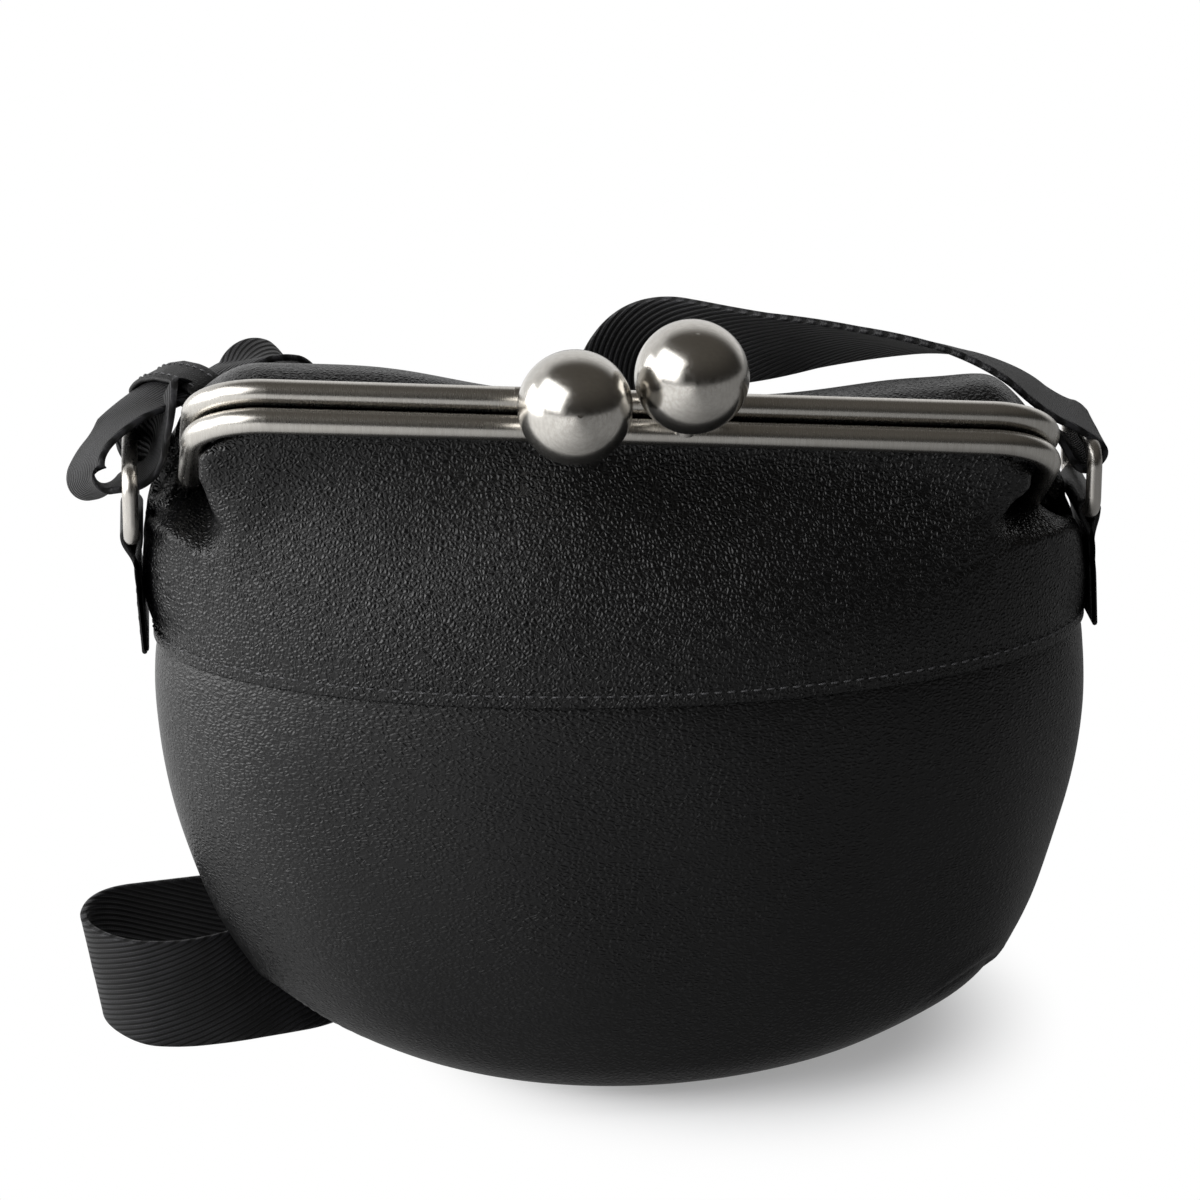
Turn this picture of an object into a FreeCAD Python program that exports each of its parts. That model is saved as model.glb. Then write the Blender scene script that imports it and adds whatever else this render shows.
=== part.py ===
import FreeCAD, Part
import math
import os

import Sketcher
from FreeCAD import Placement, Rotation, Vector

# Frame purse: a soft leather bag on a hinged tubular frame that two balls hold shut, with a webbing
# shoulder strap. +X is the bag's right, +Y its back, +Z up. The origin is under the middle of the base.

os.makedirs("parts", exist_ok=True)
doc = FreeCAD.newDocument("frame_purse")
sheet = doc.addObject("Spreadsheet::Sheet", "Sizes")

DRIVING = {
    # leather body
    "body_width": 240.0,
    "body_depth": 128.0,
    "seam_height": 116.0,
    "base_width": 92.0,
    "base_depth": 54.0,
    "base_thickness": 3.0,
    "leather": 1.6,
    "layer_gap": 0.6,
    "seam_lap": 4.0,
    "lining_thickness": 0.8,
    "lining_height": 124.0,
    "shoulder_draw_left": 1.5,
    "shoulder_draw_right": 6.5,
    # frame: two tubes bent to a U, each slit along its inner side
    "frame_width": 219.5,
    "frame_tube": 6.4,
    "frame_wall": 0.9,
    "frame_slit": 3.2,
    "frame_rise": 50.0,
    "frame_bend": 17.0,
    "frame_spacing": 7.4,
    "leg_foot": 8.0,
    "neck_lap": 5.0,
    "channel_cord": 3.4,
    "frame_tilt": 52.5,
    "frame_roll": 3.4,
    "hinge_offset": 3.0,
    "hinge_height": 150.0,
    # hinge stack, from the bag's inside to its outside
    "eye_diameter": 9.0,
    "eye_thickness": 1.8,
    "washer_diameter": 7.0,
    "washer_thickness": 0.5,
    "hinge_face_gap": 0.1,
    "rivet_diameter": 3.0,
    "rivet_play": 0.05,
    "rivet_fit": 0.02,
    "rivet_head_diameter": 6.0,
    "rivet_head_height": 1.2,
    # kiss lock
    "ball_diameter": 28.0,
    "ball_gap": 0.5,
    "ball_rise": 18.0,
    "ball_reach": 4.4,
    "clasp_offset": 1.5,
    "saddle_length": 26.5,
    "saddle_step": 0.35,
    "notch_depth": 0.6,
    "stem_diameter": 6.0,
    "stem_depth": 5.0,
    "stem_fit": 0.02,
    # rings and their leather tabs
    "ring_wire": 4.0,
    "ring_width": 35.5,
    "ring_height": 17.6,
    "ring_bend": 5.0,
    "ring_bar_height": 144.0,
    "ring_stand": 11.75,
    "ring_room": 5.0,
    "ring_play": 0.3,
    "tab_width": 27.0,
    "tab_foot": 114.5,
    "tab_stand": 1.6,
    "tab_slit": 0.5,
    # shoulder strap
    "strap_width": 30.0,
    "strap_thickness": 1.8,
    "keeper_length": 11.0,
    "keeper_wall": 1.2,
    "keeper_room": 0.8,
}
for row, (alias, value) in enumerate(DRIVING.items(), start=1):
    sheet.set(f"A{row}", alias)
    sheet.set(f"B{row}", str(value))
    sheet.setAlias(f"B{row}", alias)
doc.recompute()

FRAME_NAMES = ("front", "rear")
SIDE_SIGNS = {"left": -1, "right": 1}
sub_parts = []


def size(alias):
    """A driving dimension, read from the sheet."""
    return float(sheet.get(alias))


HALF_LEG_SPAN = (size("frame_width") - size("frame_tube")) / 2
HALF_SPACING = size("frame_spacing") / 2
TUBE_RADIUS = size("frame_tube") / 2

# the frame leans forward over the bag and dips a little towards its right end
FRAME_PLACE = Placement(
    Vector(-size("hinge_offset"), 0, size("hinge_height")),
    Rotation(Vector(0, 1, 0), size("frame_roll")) * Rotation(Vector(1, 0, 0), size("frame_tilt")),
)


def keep(label, item, placement=None):
    """Label a finished sub-part, place it and list it for export."""
    item.Label = label
    if placement is not None:
        item.Placement = placement
    sub_parts.append(item)
    return item


def keep_shape(label, shape, placement=None):
    """A sub-part whose shape comes straight from curves and lofts."""
    item = doc.addObject("Part::Feature", label)
    item.Shape = shape
    return keep(label, item, placement)


def new_sketch(body, role, name, offset=None):
    """A sketch on one of the body's own origin planes, moved along its normal by an expression."""
    sketch = body.newObject("Sketcher::SketchObject", name)
    plane = next(item for item in body.Origin.OriginFeatures if item.Role == role)
    sketch.AttachmentSupport = [(plane, "")]
    sketch.MapMode = "FlatFace"
    if offset:
        sketch.setExpression("AttachmentOffset.Base.z", offset)
    return sketch


def drive(sketch, name, expression, *constraint):
    """Add a dimension to a sketch and tie it to the sheet."""
    index = sketch.addConstraint(Sketcher.Constraint(*constraint))
    sketch.renameConstraint(index, name)
    sketch.setExpression(f"Constraints.{name}", expression)


def relate(sketch, *constraints):
    """Add the constraints that hold no dimension."""
    for constraint in constraints:
        sketch.addConstraint(Sketcher.Constraint(*constraint))


def line(first, second):
    return Part.LineSegment(Vector(*first), Vector(*second))


def arc(centre, radius, start, end):
    return Part.ArcOfCircle(Part.Circle(Vector(*centre), Vector(0, 0, 1), radius), start, end)


def circle(centre, radius):
    return Part.Circle(Vector(*centre), Vector(0, 0, 1), radius)


# frame

def u_path(body, name, side, foot_expression, foot):
    """The tube's centre line: leg, bend, bar, bend, leg, on the front or rear half's own plane."""
    sign = "" if side == "front" else "-"
    path = new_sketch(body, "XZ_Plane", name, f"{sign}Sizes.frame_spacing / 2")
    half, rise, bend = HALF_LEG_SPAN, size("frame_rise"), size("frame_bend")
    path.addGeometry([
        line((-half, foot, 0), (-half, rise - bend, 0)),
        arc((bend - half, rise - bend, 0), bend, math.pi / 2, math.pi),
        line((bend - half, rise, 0), (half - bend, rise, 0)),
        arc((half - bend, rise - bend, 0), bend, 0, math.pi / 2),
        line((half, rise - bend, 0), (half, foot, 0)),
    ])
    relate(path, ("Tangent", 0, 2, 1, 2), ("Tangent", 1, 1, 2, 1), ("Tangent", 2, 2, 3, 2),
           ("Tangent", 3, 1, 4, 1), ("Vertical", 0), ("Vertical", 4), ("Horizontal", 2),
           ("Equal", 1, 3), ("Symmetric", 0, 1, 4, 2, -2))
    drive(path, "bend", "Sizes.frame_bend", "Radius", 1, bend)
    drive(path, "span", "Sizes.frame_width - Sizes.frame_tube", "DistanceX", 0, 1, 4, 2, 2 * half)
    drive(path, "foot", foot_expression, "DistanceY", -1, 1, 0, 1, foot)
    drive(path, "rise", "Sizes.frame_rise", "DistanceY", -1, 1, 2, 1, rise)
    return path


def place_on_leg(profile, side, geometry):
    """Tie a profile's centre to the left leg of the front or rear tube."""
    depth = (geometry, 3, -1, 1) if side == "front" else (-1, 1, geometry, 3)
    drive(profile, "leg", "(Sizes.frame_width - Sizes.frame_tube) / 2", "DistanceX", geometry, 3, -1, 1,
          HALF_LEG_SPAN)
    drive(profile, "depth", "Sizes.frame_spacing / 2", "DistanceY", *depth, HALF_SPACING)


def channel_profile(body, side):
    """The slit tube's section at the foot of the left leg, with its slit towards the mouth."""
    profile = new_sketch(body, "XY_Plane", f"{side}_channel_profile", "Sizes.leg_foot")
    outer, inner, slit = TUBE_RADIUS, TUBE_RADIUS - size("frame_wall"), size("frame_slit") / 2
    depth = -HALF_SPACING if side == "front" else HALF_SPACING
    centre = (-HALF_LEG_SPAN, depth, 0)
    outer_turn, inner_turn = math.asin(slit / outer), math.asin(slit / inner)
    lips = []
    for edge in (1, -1):
        lips.append([(centre[0] + radius * math.cos(turn), depth + edge * slit, 0)
                     for radius, turn in ((outer, outer_turn), (inner, inner_turn))])
    profile.addGeometry([
        arc(centre, outer, outer_turn, 2 * math.pi - outer_turn),
        arc(centre, inner, inner_turn, 2 * math.pi - inner_turn),
        line(*lips[0]),
        line(*lips[1]),
    ])
    relate(profile, ("Coincident", 0, 1, 2, 1), ("Coincident", 1, 1, 2, 2), ("Coincident", 0, 2, 3, 1),
           ("Coincident", 1, 2, 3, 2), ("Coincident", 0, 3, 1, 3), ("Horizontal", 2), ("Horizontal", 3))
    place_on_leg(profile, side, 0)
    drive(profile, "outer", "Sizes.frame_tube / 2", "Radius", 0, outer)
    drive(profile, "inner", "Sizes.frame_tube / 2 - Sizes.frame_wall", "Radius", 1, inner)
    drive(profile, "upper_lip", "Sizes.frame_slit / 2", "DistanceY", 0, 3, 2, 1, slit)
    drive(profile, "lower_lip", "Sizes.frame_slit / 2", "DistanceY", 3, 1, 0, 3, slit)
    return profile


def pipe(body, name, profile, path):
    """Sweep a profile along all five edges of a U path."""
    feature = body.newObject("PartDesign::AdditivePipe", name)
    feature.Profile = profile
    feature.Spine = (path, [f"Edge{number}" for number in range(1, 6)])
    return feature


# where the hinge's layers lie along the axis, from the leg's centre outwards
WASHER_INNER = -(size("washer_thickness") - size("hinge_face_gap"))
WASHER_OUTER = size("hinge_face_gap")
EYE_INNER = {"rear": WASHER_INNER - size("eye_thickness"), "front": WASHER_OUTER + size("hinge_face_gap")}
EYE_OUTER = {side: EYE_INNER[side] + size("eye_thickness") for side in FRAME_NAMES}

# the eye's round runs from below its neck to just above the axis on the far side
EYE_ROUND_DEGREES = (190, 380)
NECK_INSET_SHARE = 0.08
NECK_STEP_SHARE = 0.12


def eye_sketch(body, side, hand, play):
    """The flat hinge eye under a leg: a round about the axis and a neck up into the tube."""
    reach = HALF_LEG_SPAN + EYE_INNER[side]
    name = f"{side}_{hand}_eye"
    sketch = new_sketch(body, "YZ_Plane", name)
    sketch.AttachmentOffset = Placement(Vector(0, 0, SIDE_SIGNS[hand] * reach), Rotation())
    mirror = 1 if side == "front" else -1
    round_radius = size("eye_diameter") / 2
    inset = NECK_INSET_SHARE * size("frame_tube")
    near = -mirror * (HALF_SPACING - TUBE_RADIUS + inset)
    far = -mirror * (HALF_SPACING + TUBE_RADIUS - inset)
    top = size("leg_foot") + size("neck_lap")
    step = size("leg_foot") - NECK_STEP_SHARE * size("leg_foot")
    start, end = (math.radians(angle) for angle in EYE_ROUND_DEGREES)
    if side == "rear":
        start, end = math.pi - end, math.pi - start
    ends = [(round_radius * math.cos(turn), round_radius * math.sin(turn), 0) for turn in (start, end)]
    neck_end, free_end = ends if side == "front" else reversed(ends)
    sketch.addGeometry([
        arc((0, 0, 0), round_radius, start, end),
        line(neck_end, (far, top, 0)),
        line((far, top, 0), (near, top, 0)),
        line((near, top, 0), (near, step, 0)),
        line((near, step, 0), free_end),
        circle((0, 0, 0), size("rivet_diameter") / 2 + size(play)),
    ])
    relate(sketch, ("Coincident", 0, 3, -1, 1), ("Coincident", 5, 3, -1, 1))
    drive(sketch, "round", "Sizes.eye_diameter / 2", "Radius", 0, round_radius)
    drive(sketch, "bore", f"Sizes.rivet_diameter / 2 + Sizes.{play}", "Radius", 5,
          size("rivet_diameter") / 2 + size(play))
    return sketch


def clasp_x(side):
    """Where a ball stands along the bar: the rear half's on the left, the front half's on the right."""
    sign = 1 if side == "front" else -1
    return -size("clasp_offset") + sign * (size("ball_diameter") + size("ball_gap")) / 2


def build_frame(side, play):
    """One half of the frame: a slit tube with a hinge eye under each leg and a notch for its saddle."""
    body = doc.addObject("PartDesign::Body", f"{side}_frame")
    path = u_path(body, f"{side}_path", side, "Sizes.leg_foot", size("leg_foot"))
    pipe(body, f"{side}_tube", channel_profile(body, side), path)
    for hand, sign in SIDE_SIGNS.items():
        pad = body.newObject("PartDesign::Pad", f"{side}_{hand}_eye_pad")
        pad.Profile = eye_sketch(body, side, hand, play)
        pad.Reversed = sign < 0
        pad.setExpression("Length", "Sizes.eye_thickness")
    notch = new_sketch(body, "XZ_Plane", f"{side}_notch")
    half = size("saddle_length") / 2
    floor = size("frame_rise") + TUBE_RADIUS - size("notch_depth")
    roof = size("frame_rise") + size("frame_tube")
    corners = [(clasp_x(side) - half, floor, 0), (clasp_x(side) + half, floor, 0),
               (clasp_x(side) + half, roof, 0), (clasp_x(side) - half, roof, 0)]
    notch.addGeometry([line(corners[number], corners[(number + 1) % 4]) for number in range(4)])
    cut = body.newObject("PartDesign::Pocket", f"{side}_notch_cut")
    cut.Profile = notch
    cut.Midplane = True
    cut.setExpression("Length", "Sizes.frame_tube * 4")
    return keep(f"{side}_frame", body, FRAME_PLACE)


def build_channel_cord(side):
    """The cord pressed into the tube, which wedges the leather's edge in the slit."""
    body = doc.addObject("PartDesign::Body", f"{side}_channel_cord")
    foot = "Sizes.leg_foot + Sizes.neck_lap + Sizes.frame_wall"
    height = size("leg_foot") + size("neck_lap") + size("frame_wall")
    path = u_path(body, f"{side}_cord_path", side, foot, height)
    profile = new_sketch(body, "XY_Plane", f"{side}_cord_profile", foot)
    depth = -HALF_SPACING if side == "front" else HALF_SPACING
    profile.addGeometry(circle((-HALF_LEG_SPAN, depth, 0), size("channel_cord") / 2))
    place_on_leg(profile, side, 0)
    drive(profile, "cord", "Sizes.channel_cord", "Diameter", 0, size("channel_cord"))
    pipe(body, f"{side}_cord", profile, path)
    return keep(f"{side}_channel_cord", body, FRAME_PLACE)


def bound(kind, name, **expressions):
    """A Part primitive whose sizes are tied to the sheet."""
    item = doc.addObject(kind, name)
    for prop, expression in expressions.items():
        item.setExpression(prop, expression)
    return item


def along_x(item, reach):
    """Lay a cylinder along the hinge axis, starting at a place on it."""
    item.Placement = Placement(Vector(reach, 0, 0), Rotation(Vector(0, 1, 0), 90))
    return item


def build_hinge(hand):
    """A rivet with two heads through both eyes, and the washer that parts them."""
    sign = SIDE_SIGNS[hand]
    inner_head = EYE_INNER["rear"] - size("rivet_head_height")
    outer_head = EYE_OUTER["front"] + size("hinge_face_gap")
    ends = (inner_head, outer_head + size("rivet_head_height"))
    lowest = min(sign * (HALF_LEG_SPAN + edge) for edge in ends)
    heads = [min(sign * (HALF_LEG_SPAN + start), sign * (HALF_LEG_SPAN + start + size("rivet_head_height")))
             for start in (inner_head, outer_head)]
    shank = along_x(bound("Part::Cylinder", f"{hand}_shank", Radius="Sizes.rivet_diameter / 2"), lowest)
    shank.setExpression("Height", "2 * Sizes.rivet_head_height + 2 * Sizes.eye_thickness"
                                  " + Sizes.washer_thickness + 2 * Sizes.hinge_face_gap")
    caps = [along_x(bound("Part::Cylinder", f"{hand}_head_{number}", Radius="Sizes.rivet_head_diameter / 2",
                          Height="Sizes.rivet_head_height"), start) for number, start in enumerate(heads)]
    rivet = doc.addObject("Part::MultiFuse", f"hinge_rivet_{hand}")
    rivet.Shapes = [shank, *caps]
    keep(f"hinge_rivet_{hand}", rivet, FRAME_PLACE)
    edge = min(sign * (HALF_LEG_SPAN + WASHER_INNER), sign * (HALF_LEG_SPAN + WASHER_OUTER))
    disc = along_x(bound("Part::Cylinder", f"{hand}_washer_disc", Radius="Sizes.washer_diameter / 2",
                         Height="Sizes.washer_thickness"), edge)
    bore = along_x(bound("Part::Cylinder", f"{hand}_washer_bore",
                         Radius="Sizes.rivet_diameter / 2 + Sizes.rivet_fit",
                         Height="Sizes.washer_thickness"), edge)
    washer = doc.addObject("Part::Cut", f"hinge_washer_{hand}")
    washer.Base, washer.Tool = disc, bore
    keep(f"hinge_washer_{hand}", washer, FRAME_PLACE)


def build_clasp(side):
    """A saddle seated in its bar's notch, with a stem that leans over the other bar, and its ball."""
    mirror = -1 if side == "front" else 1
    seat = TUBE_RADIUS - size("notch_depth")
    bar = Vector(clasp_x(side), mirror * HALF_SPACING, size("frame_rise"))
    ball_centre = Vector(clasp_x(side), -mirror * size("ball_reach"), size("frame_rise") + size("ball_rise"))
    foot = bar + Vector(0, 0, seat)
    axis = ball_centre - foot
    lean = Rotation(Vector(0, 0, 1), axis)
    reach = axis.Length - size("ball_diameter") / 2 + size("stem_depth")

    cap = bound("Part::Cylinder", f"{side}_saddle_round", Radius="Sizes.frame_tube / 2 + Sizes.saddle_step",
                Height="Sizes.saddle_length")
    half = size("saddle_length") / 2
    cap.Placement = Placement(bar - Vector(half, 0, 0), Rotation(Vector(0, 1, 0), 90))
    block = bound("Part::Box", f"{side}_saddle_block", Length="Sizes.saddle_length",
                  Width="Sizes.frame_tube * 2", Height="Sizes.frame_tube")
    block.Placement = Placement(foot - Vector(half, size("frame_tube"), 0), Rotation())
    plate = doc.addObject("Part::Common", f"{side}_saddle_plate")
    plate.Base, plate.Tool = cap, block
    stem = bound("Part::Cylinder", f"{side}_stem", Radius="Sizes.stem_diameter / 2")
    stem.Height = reach
    stem.Placement = Placement(foot, lean)
    over = bound("Part::Box", f"{side}_stem_room", Length="Sizes.stem_diameter * 2",
                 Width="Sizes.ball_diameter * 2", Height="Sizes.ball_diameter * 2")
    over.Placement = Placement(foot - Vector(size("stem_diameter"), size("ball_diameter"), 0), Rotation())
    trimmed = doc.addObject("Part::Common", f"{side}_stem_trimmed")
    trimmed.Base, trimmed.Tool = stem, over
    saddle = doc.addObject("Part::MultiFuse", f"{side}_clasp_saddle")
    saddle.Shapes = [plate, trimmed]
    keep(f"{side}_clasp_saddle", saddle, FRAME_PLACE)

    sphere = bound("Part::Sphere", f"{side}_ball_round", Radius="Sizes.ball_diameter / 2")
    sphere.Placement = Placement(ball_centre, lean)
    socket = bound("Part::Cylinder", f"{side}_ball_socket", Radius="Sizes.stem_diameter / 2 + Sizes.stem_fit")
    socket.Height = reach
    socket.Placement = Placement(foot, lean)
    ball = doc.addObject("Part::Cut", f"{side}_clasp_ball")
    ball.Base, ball.Tool = sphere, socket
    keep(f"{side}_clasp_ball", ball, FRAME_PLACE)


# leather body

# height, half-width and half-depth of the body, as shares of the seam's height and of the widest half-sizes
BOWL_SHARES = (
    (0.070, 0.610, 0.825),
    (0.155, 0.760, 0.885),
    (0.293, 0.870, 0.938),
    (0.517, 0.958, 0.984),
    (0.776, 0.998, 1.000),
    (1.000, 1.000, 0.985),
)
LINING_TOP_SHARES = (0.935, 0.880)
BASE_EDGE_SHARES = (0.505, 0.735)


def half_sizes(width_share, depth_share):
    return width_share * size("body_width") / 2, depth_share * size("body_depth") / 2


def bowl_levels():
    """Heights of the lower body with its outer half-width and half-depth there, from the base's edge up."""
    levels = [(size("base_thickness"), *half_sizes(*BASE_EDGE_SHARES))]
    for height, width, depth in BOWL_SHARES:
        levels.append((height * size("seam_height"), *half_sizes(width, depth)))
    return levels


def inset_levels(levels, thickness):
    """The same levels drawn in by a thickness square to the wall, which leans out towards the base."""
    inner = []
    for number, (height, width, depth) in enumerate(levels):
        first, last = levels[max(number - 1, 0)], levels[min(number + 1, len(levels) - 1)]
        climb = last[0] - first[0]
        inner.append((height, width - thickness * math.hypot(1, (last[1] - first[1]) / climb),
                      depth - thickness * math.hypot(1, (last[2] - first[2]) / climb)))
    return inner


def oval_arc(height, width, depth, start, end):
    """Part of an oval, by its turn from the bag's right round the back, whichever way it is longer."""
    oval = Part.Ellipse(Vector(0, 0, height), max(width, depth), min(width, depth))
    if depth > width:
        oval.rotate(Placement(Vector(), Rotation(Vector(0, 0, 1), 90)))
        start, end = start - math.pi / 2, end - math.pi / 2
    return Part.ArcOfEllipse(oval, start, end).toShape()


def half_oval(height, width, depth, front):
    """Half an oval from the bag's left to its right, round the front or the back."""
    turn = (math.pi, 2 * math.pi) if front else (0, math.pi)
    return oval_arc(height, width, depth, *turn)


def full_oval(height, width, depth):
    return Part.Wire(oval_arc(height, width, depth, 0, 2 * math.pi))


def build_panel(side):
    """The front or rear lower panel, up to the seam, with the lip that the upper leather laps over."""
    wall = bowl_levels()
    height, width, depth = wall[-1]
    lap, drop = size("leather") + size("layer_gap"), size("seam_lap")
    wall[-1] = (height - drop, width, depth)
    root = size("leather") / 2
    lip = [(height - 2 * drop, width - root, depth - root)]
    lip += [(level, width - lap, depth - lap) for level in (height - drop, height + drop / 2)]
    shells = []
    for levels, ruled in ((wall, False), (lip, True)):
        sections = []
        for far, near in zip(levels, inset_levels(levels, size("leather"))):
            rim, back = half_oval(*far, side == "front"), half_oval(*near, side == "front")
            ends = [Part.makeLine(rim.Vertexes[number].Point, back.Vertexes[number].Point)
                    for number in (0, 1)]
            sections.append(Part.Wire([rim, ends[1], back, ends[0]]))
        shells.append(Part.makeLoft(sections, True, ruled))
    return keep_shape(f"{side}_panel", shells[0].fuse(shells[1]).removeSplitter())


def build_base():
    """The oval base that the bag stands on."""
    rim = full_oval(0, size("base_width") / 2, size("base_depth") / 2)
    edge = full_oval(*bowl_levels()[0])
    return keep_shape("base_panel", Part.makeLoft([rim, edge], True, True))


def build_lining():
    """The open fabric bag inside the leather."""
    walls = bowl_levels()
    floor = size("base_thickness") + size("layer_gap")
    top = (size("lining_height"), *half_sizes(*LINING_TOP_SHARES))
    room = 2 * size("leather") + 3 * size("layer_gap")
    outside = inset_levels(walls, room)
    outside[0] = (floor, outside[0][1], outside[0][2])
    outside.append(top)
    inside = inset_levels(outside, size("lining_thickness"))
    inside[0] = (floor + size("lining_thickness"), inside[0][1], inside[0][2])
    solids = [Part.makeLoft([full_oval(*level) for level in levels], True, False)
              for levels in (outside, inside)]
    return keep_shape("lining", solids[0].cut(solids[1]))


# how the upper leather runs from the seam to the slit, as a curve of four points at each place round the bag:
# how high it first rises and how it leaves the slit, at the middle and at the sides, how far the two halves
# part beside the hinges, and how far the leather puffs up between the middle and the frame's corners
YOKE_STATIONS = 20
YOKE_STEPS = 6
YOKE_RISE_SHARES = {"front": (0.28, 0.18), "rear": (0.33, 0.22)}
YOKE_LEAVE_SHARES = {
    "front": ((0.0, 0.04, -0.22), (-0.06, 0.03, -0.26)),
    "rear": ((0.0, 0.60, -0.04), (-0.02, 0.45, 0.0)),
}
YOKE_PARTING_SHARE = 0.9
YOKE_PUFF_SHARES = {"front": 0.0, "rear": 1.0}
SLIT_MOUTH_SHARE = 1.7
SLIT_END_SHARE = 0.78


def on_u(side, share, inward):
    """A place on the tube's U, from the left foot at -1 to the right foot at 1, moved towards the mouth."""
    sign = -1 if share < 0 else 1
    rise, bend = size("frame_rise"), size("frame_bend")
    bar = HALF_LEG_SPAN - bend
    corner = bend * math.pi / 2
    leg = rise - bend - size("leg_foot") - size("neck_lap") - size("frame_wall")
    along = abs(share) * (bar + corner + leg)
    depth = -HALF_SPACING if side == "front" else HALF_SPACING
    if along <= bar:
        return Vector(sign * along, depth, rise - inward)
    if along <= bar + corner:
        turn = (along - bar) / bend
        radius = bend - inward
        return Vector(sign * (bar + radius * math.sin(turn)), depth, rise - bend + radius * math.cos(turn))
    return Vector(sign * (HALF_LEG_SPAN - inward), depth, rise - bend - (along - bar - corner))


def shoulder_reach(hand):
    """How far out the upper leather's shoulder comes."""
    return size("body_width") / 2 - size(f"shoulder_draw_{hand}")


def yoke_point(side, share, step):
    """A point of the upper leather's middle layer."""
    front = side == "front"
    turn = share * math.pi / 2
    inset = size("leather") / 2
    width, depth = half_sizes(*BOWL_SHARES[-1][1:])
    seam = Vector((width - inset) * math.sin(turn), (-1 if front else 1) * (depth - inset) * math.cos(turn),
                  size("seam_height") + size("seam_lap") / 2)
    slit = FRAME_PLACE.multVec(on_u(side, share, SLIT_MOUTH_SHARE * TUBE_RADIUS))
    away = abs(share) ** 2
    shoulder = shoulder_reach("left" if share < 0 else "right")
    middle_rise, side_rise = (part * size("seam_height") for part in YOKE_RISE_SHARES[side])
    narrow = 1 + away * (shoulder / width - 1)
    parting = (-1 if front else 1) * away * YOKE_PARTING_SHARE * size("frame_spacing")
    climb = middle_rise + away * (side_rise - middle_rise)
    rise = Vector(seam.x * narrow, seam.y + parting, seam.z + climb)
    middle_leave, side_leave = (Vector(*part) * size("frame_rise") for part in YOKE_LEAVE_SHARES[side])
    side_leave.x *= -1 if share < 0 else 1
    puff = YOKE_PUFF_SHARES[side] * size("frame_rise") * away * math.sin(math.pi * share) ** 2
    leave = slit + middle_leave + (side_leave - middle_leave) * away + Vector(0, 0, puff)
    weights = ((1 - step) ** 3, 3 * step * (1 - step) ** 2, 3 * step ** 2 * (1 - step), step ** 3)
    point = Vector()
    for weight, pole in zip(weights, (seam, rise, leave, slit)):
        point += pole * weight
    return point


def yoke_layers(side, share, step):
    """The outer and inner points of the upper leather at one place."""
    nudge = 1 / (YOKE_STATIONS * YOKE_STEPS)
    across = yoke_point(side, share + nudge, step) - yoke_point(side, share - nudge, step)
    upward = yoke_point(side, share, step + nudge) - yoke_point(side, share, step - nudge)
    square = across.cross(upward).normalize() * (size("leather") / 2)
    if side == "rear":
        square = -square
    middle = yoke_point(side, share, step)
    return middle + square, middle - square


def sheet_solid(rows):
    """A closed solid between two layers of curves, drawn through rows of outer and inner points."""
    curves = []
    for row in rows:
        pair = []
        for layer in (0, 1):
            curve = Part.BSplineCurve()
            curve.interpolate([points[layer] for points in row])
            pair.append(curve.toShape())
        curves.append(pair)
    faces = []
    for layer in (0, 1):
        faces += [Part.makeRuledSurface(low[layer], high[layer]) for low, high in zip(curves, curves[1:])]
    faces += [Part.makeRuledSurface(*curves[number]) for number in (0, -1)]
    for number in (0, -1):
        for low, high in zip(rows, rows[1:]):
            corners = [*low[number], *reversed(high[number])]
            faces += [Part.Face(Part.makePolygon([corners[0], corners[turn], corners[turn + 1], corners[0]]))
                      for turn in (1, 2)]
    shell = Part.makeShell(faces)
    shell.sewShape()
    solid = Part.makeSolid(shell)
    return solid if solid.Volume > 0 else solid.reversed()


def build_yoke(side):
    """The gathered upper leather, from outside the lower panel's lip to inside the frame's slit."""
    shares = [number / (YOKE_STATIONS / 2) - 1 for number in range(YOKE_STATIONS + 1)]
    rows = []
    layers = [yoke_layers(side, share, 0) for share in shares]
    drop = Vector(0, 0, size("seam_lap"))
    rows.append([[far - drop, near - drop] for far, near in layers])
    for step in range(YOKE_STEPS + 1):
        rows.append([yoke_layers(side, share, step / YOKE_STEPS) for share in shares])
    thick = FRAME_PLACE.Rotation.multVec(Vector(0, size("leather") / 2, 0))
    if side == "rear":
        thick = -thick
    tucked = [FRAME_PLACE.multVec(on_u(side, share, SLIT_END_SHARE * TUBE_RADIUS)) for share in shares]
    rows.append([[point - thick, point + thick] for point in tucked])
    return keep_shape(f"{side}_yoke", sheet_solid(rows))


# rings and tabs

def ring_centre(hand):
    """The middle of the ring's lower bar, clear of the frame's end and of the leather's shoulder."""
    sign = SIDE_SIGNS[hand]
    beside_frame = size("frame_width") / 2 - sign * size("hinge_offset") + size("ring_stand")
    beside_leather = shoulder_reach(hand) + size("ring_room")
    return Vector(sign * max(beside_frame, beside_leather), 0, size("ring_bar_height"))


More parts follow.
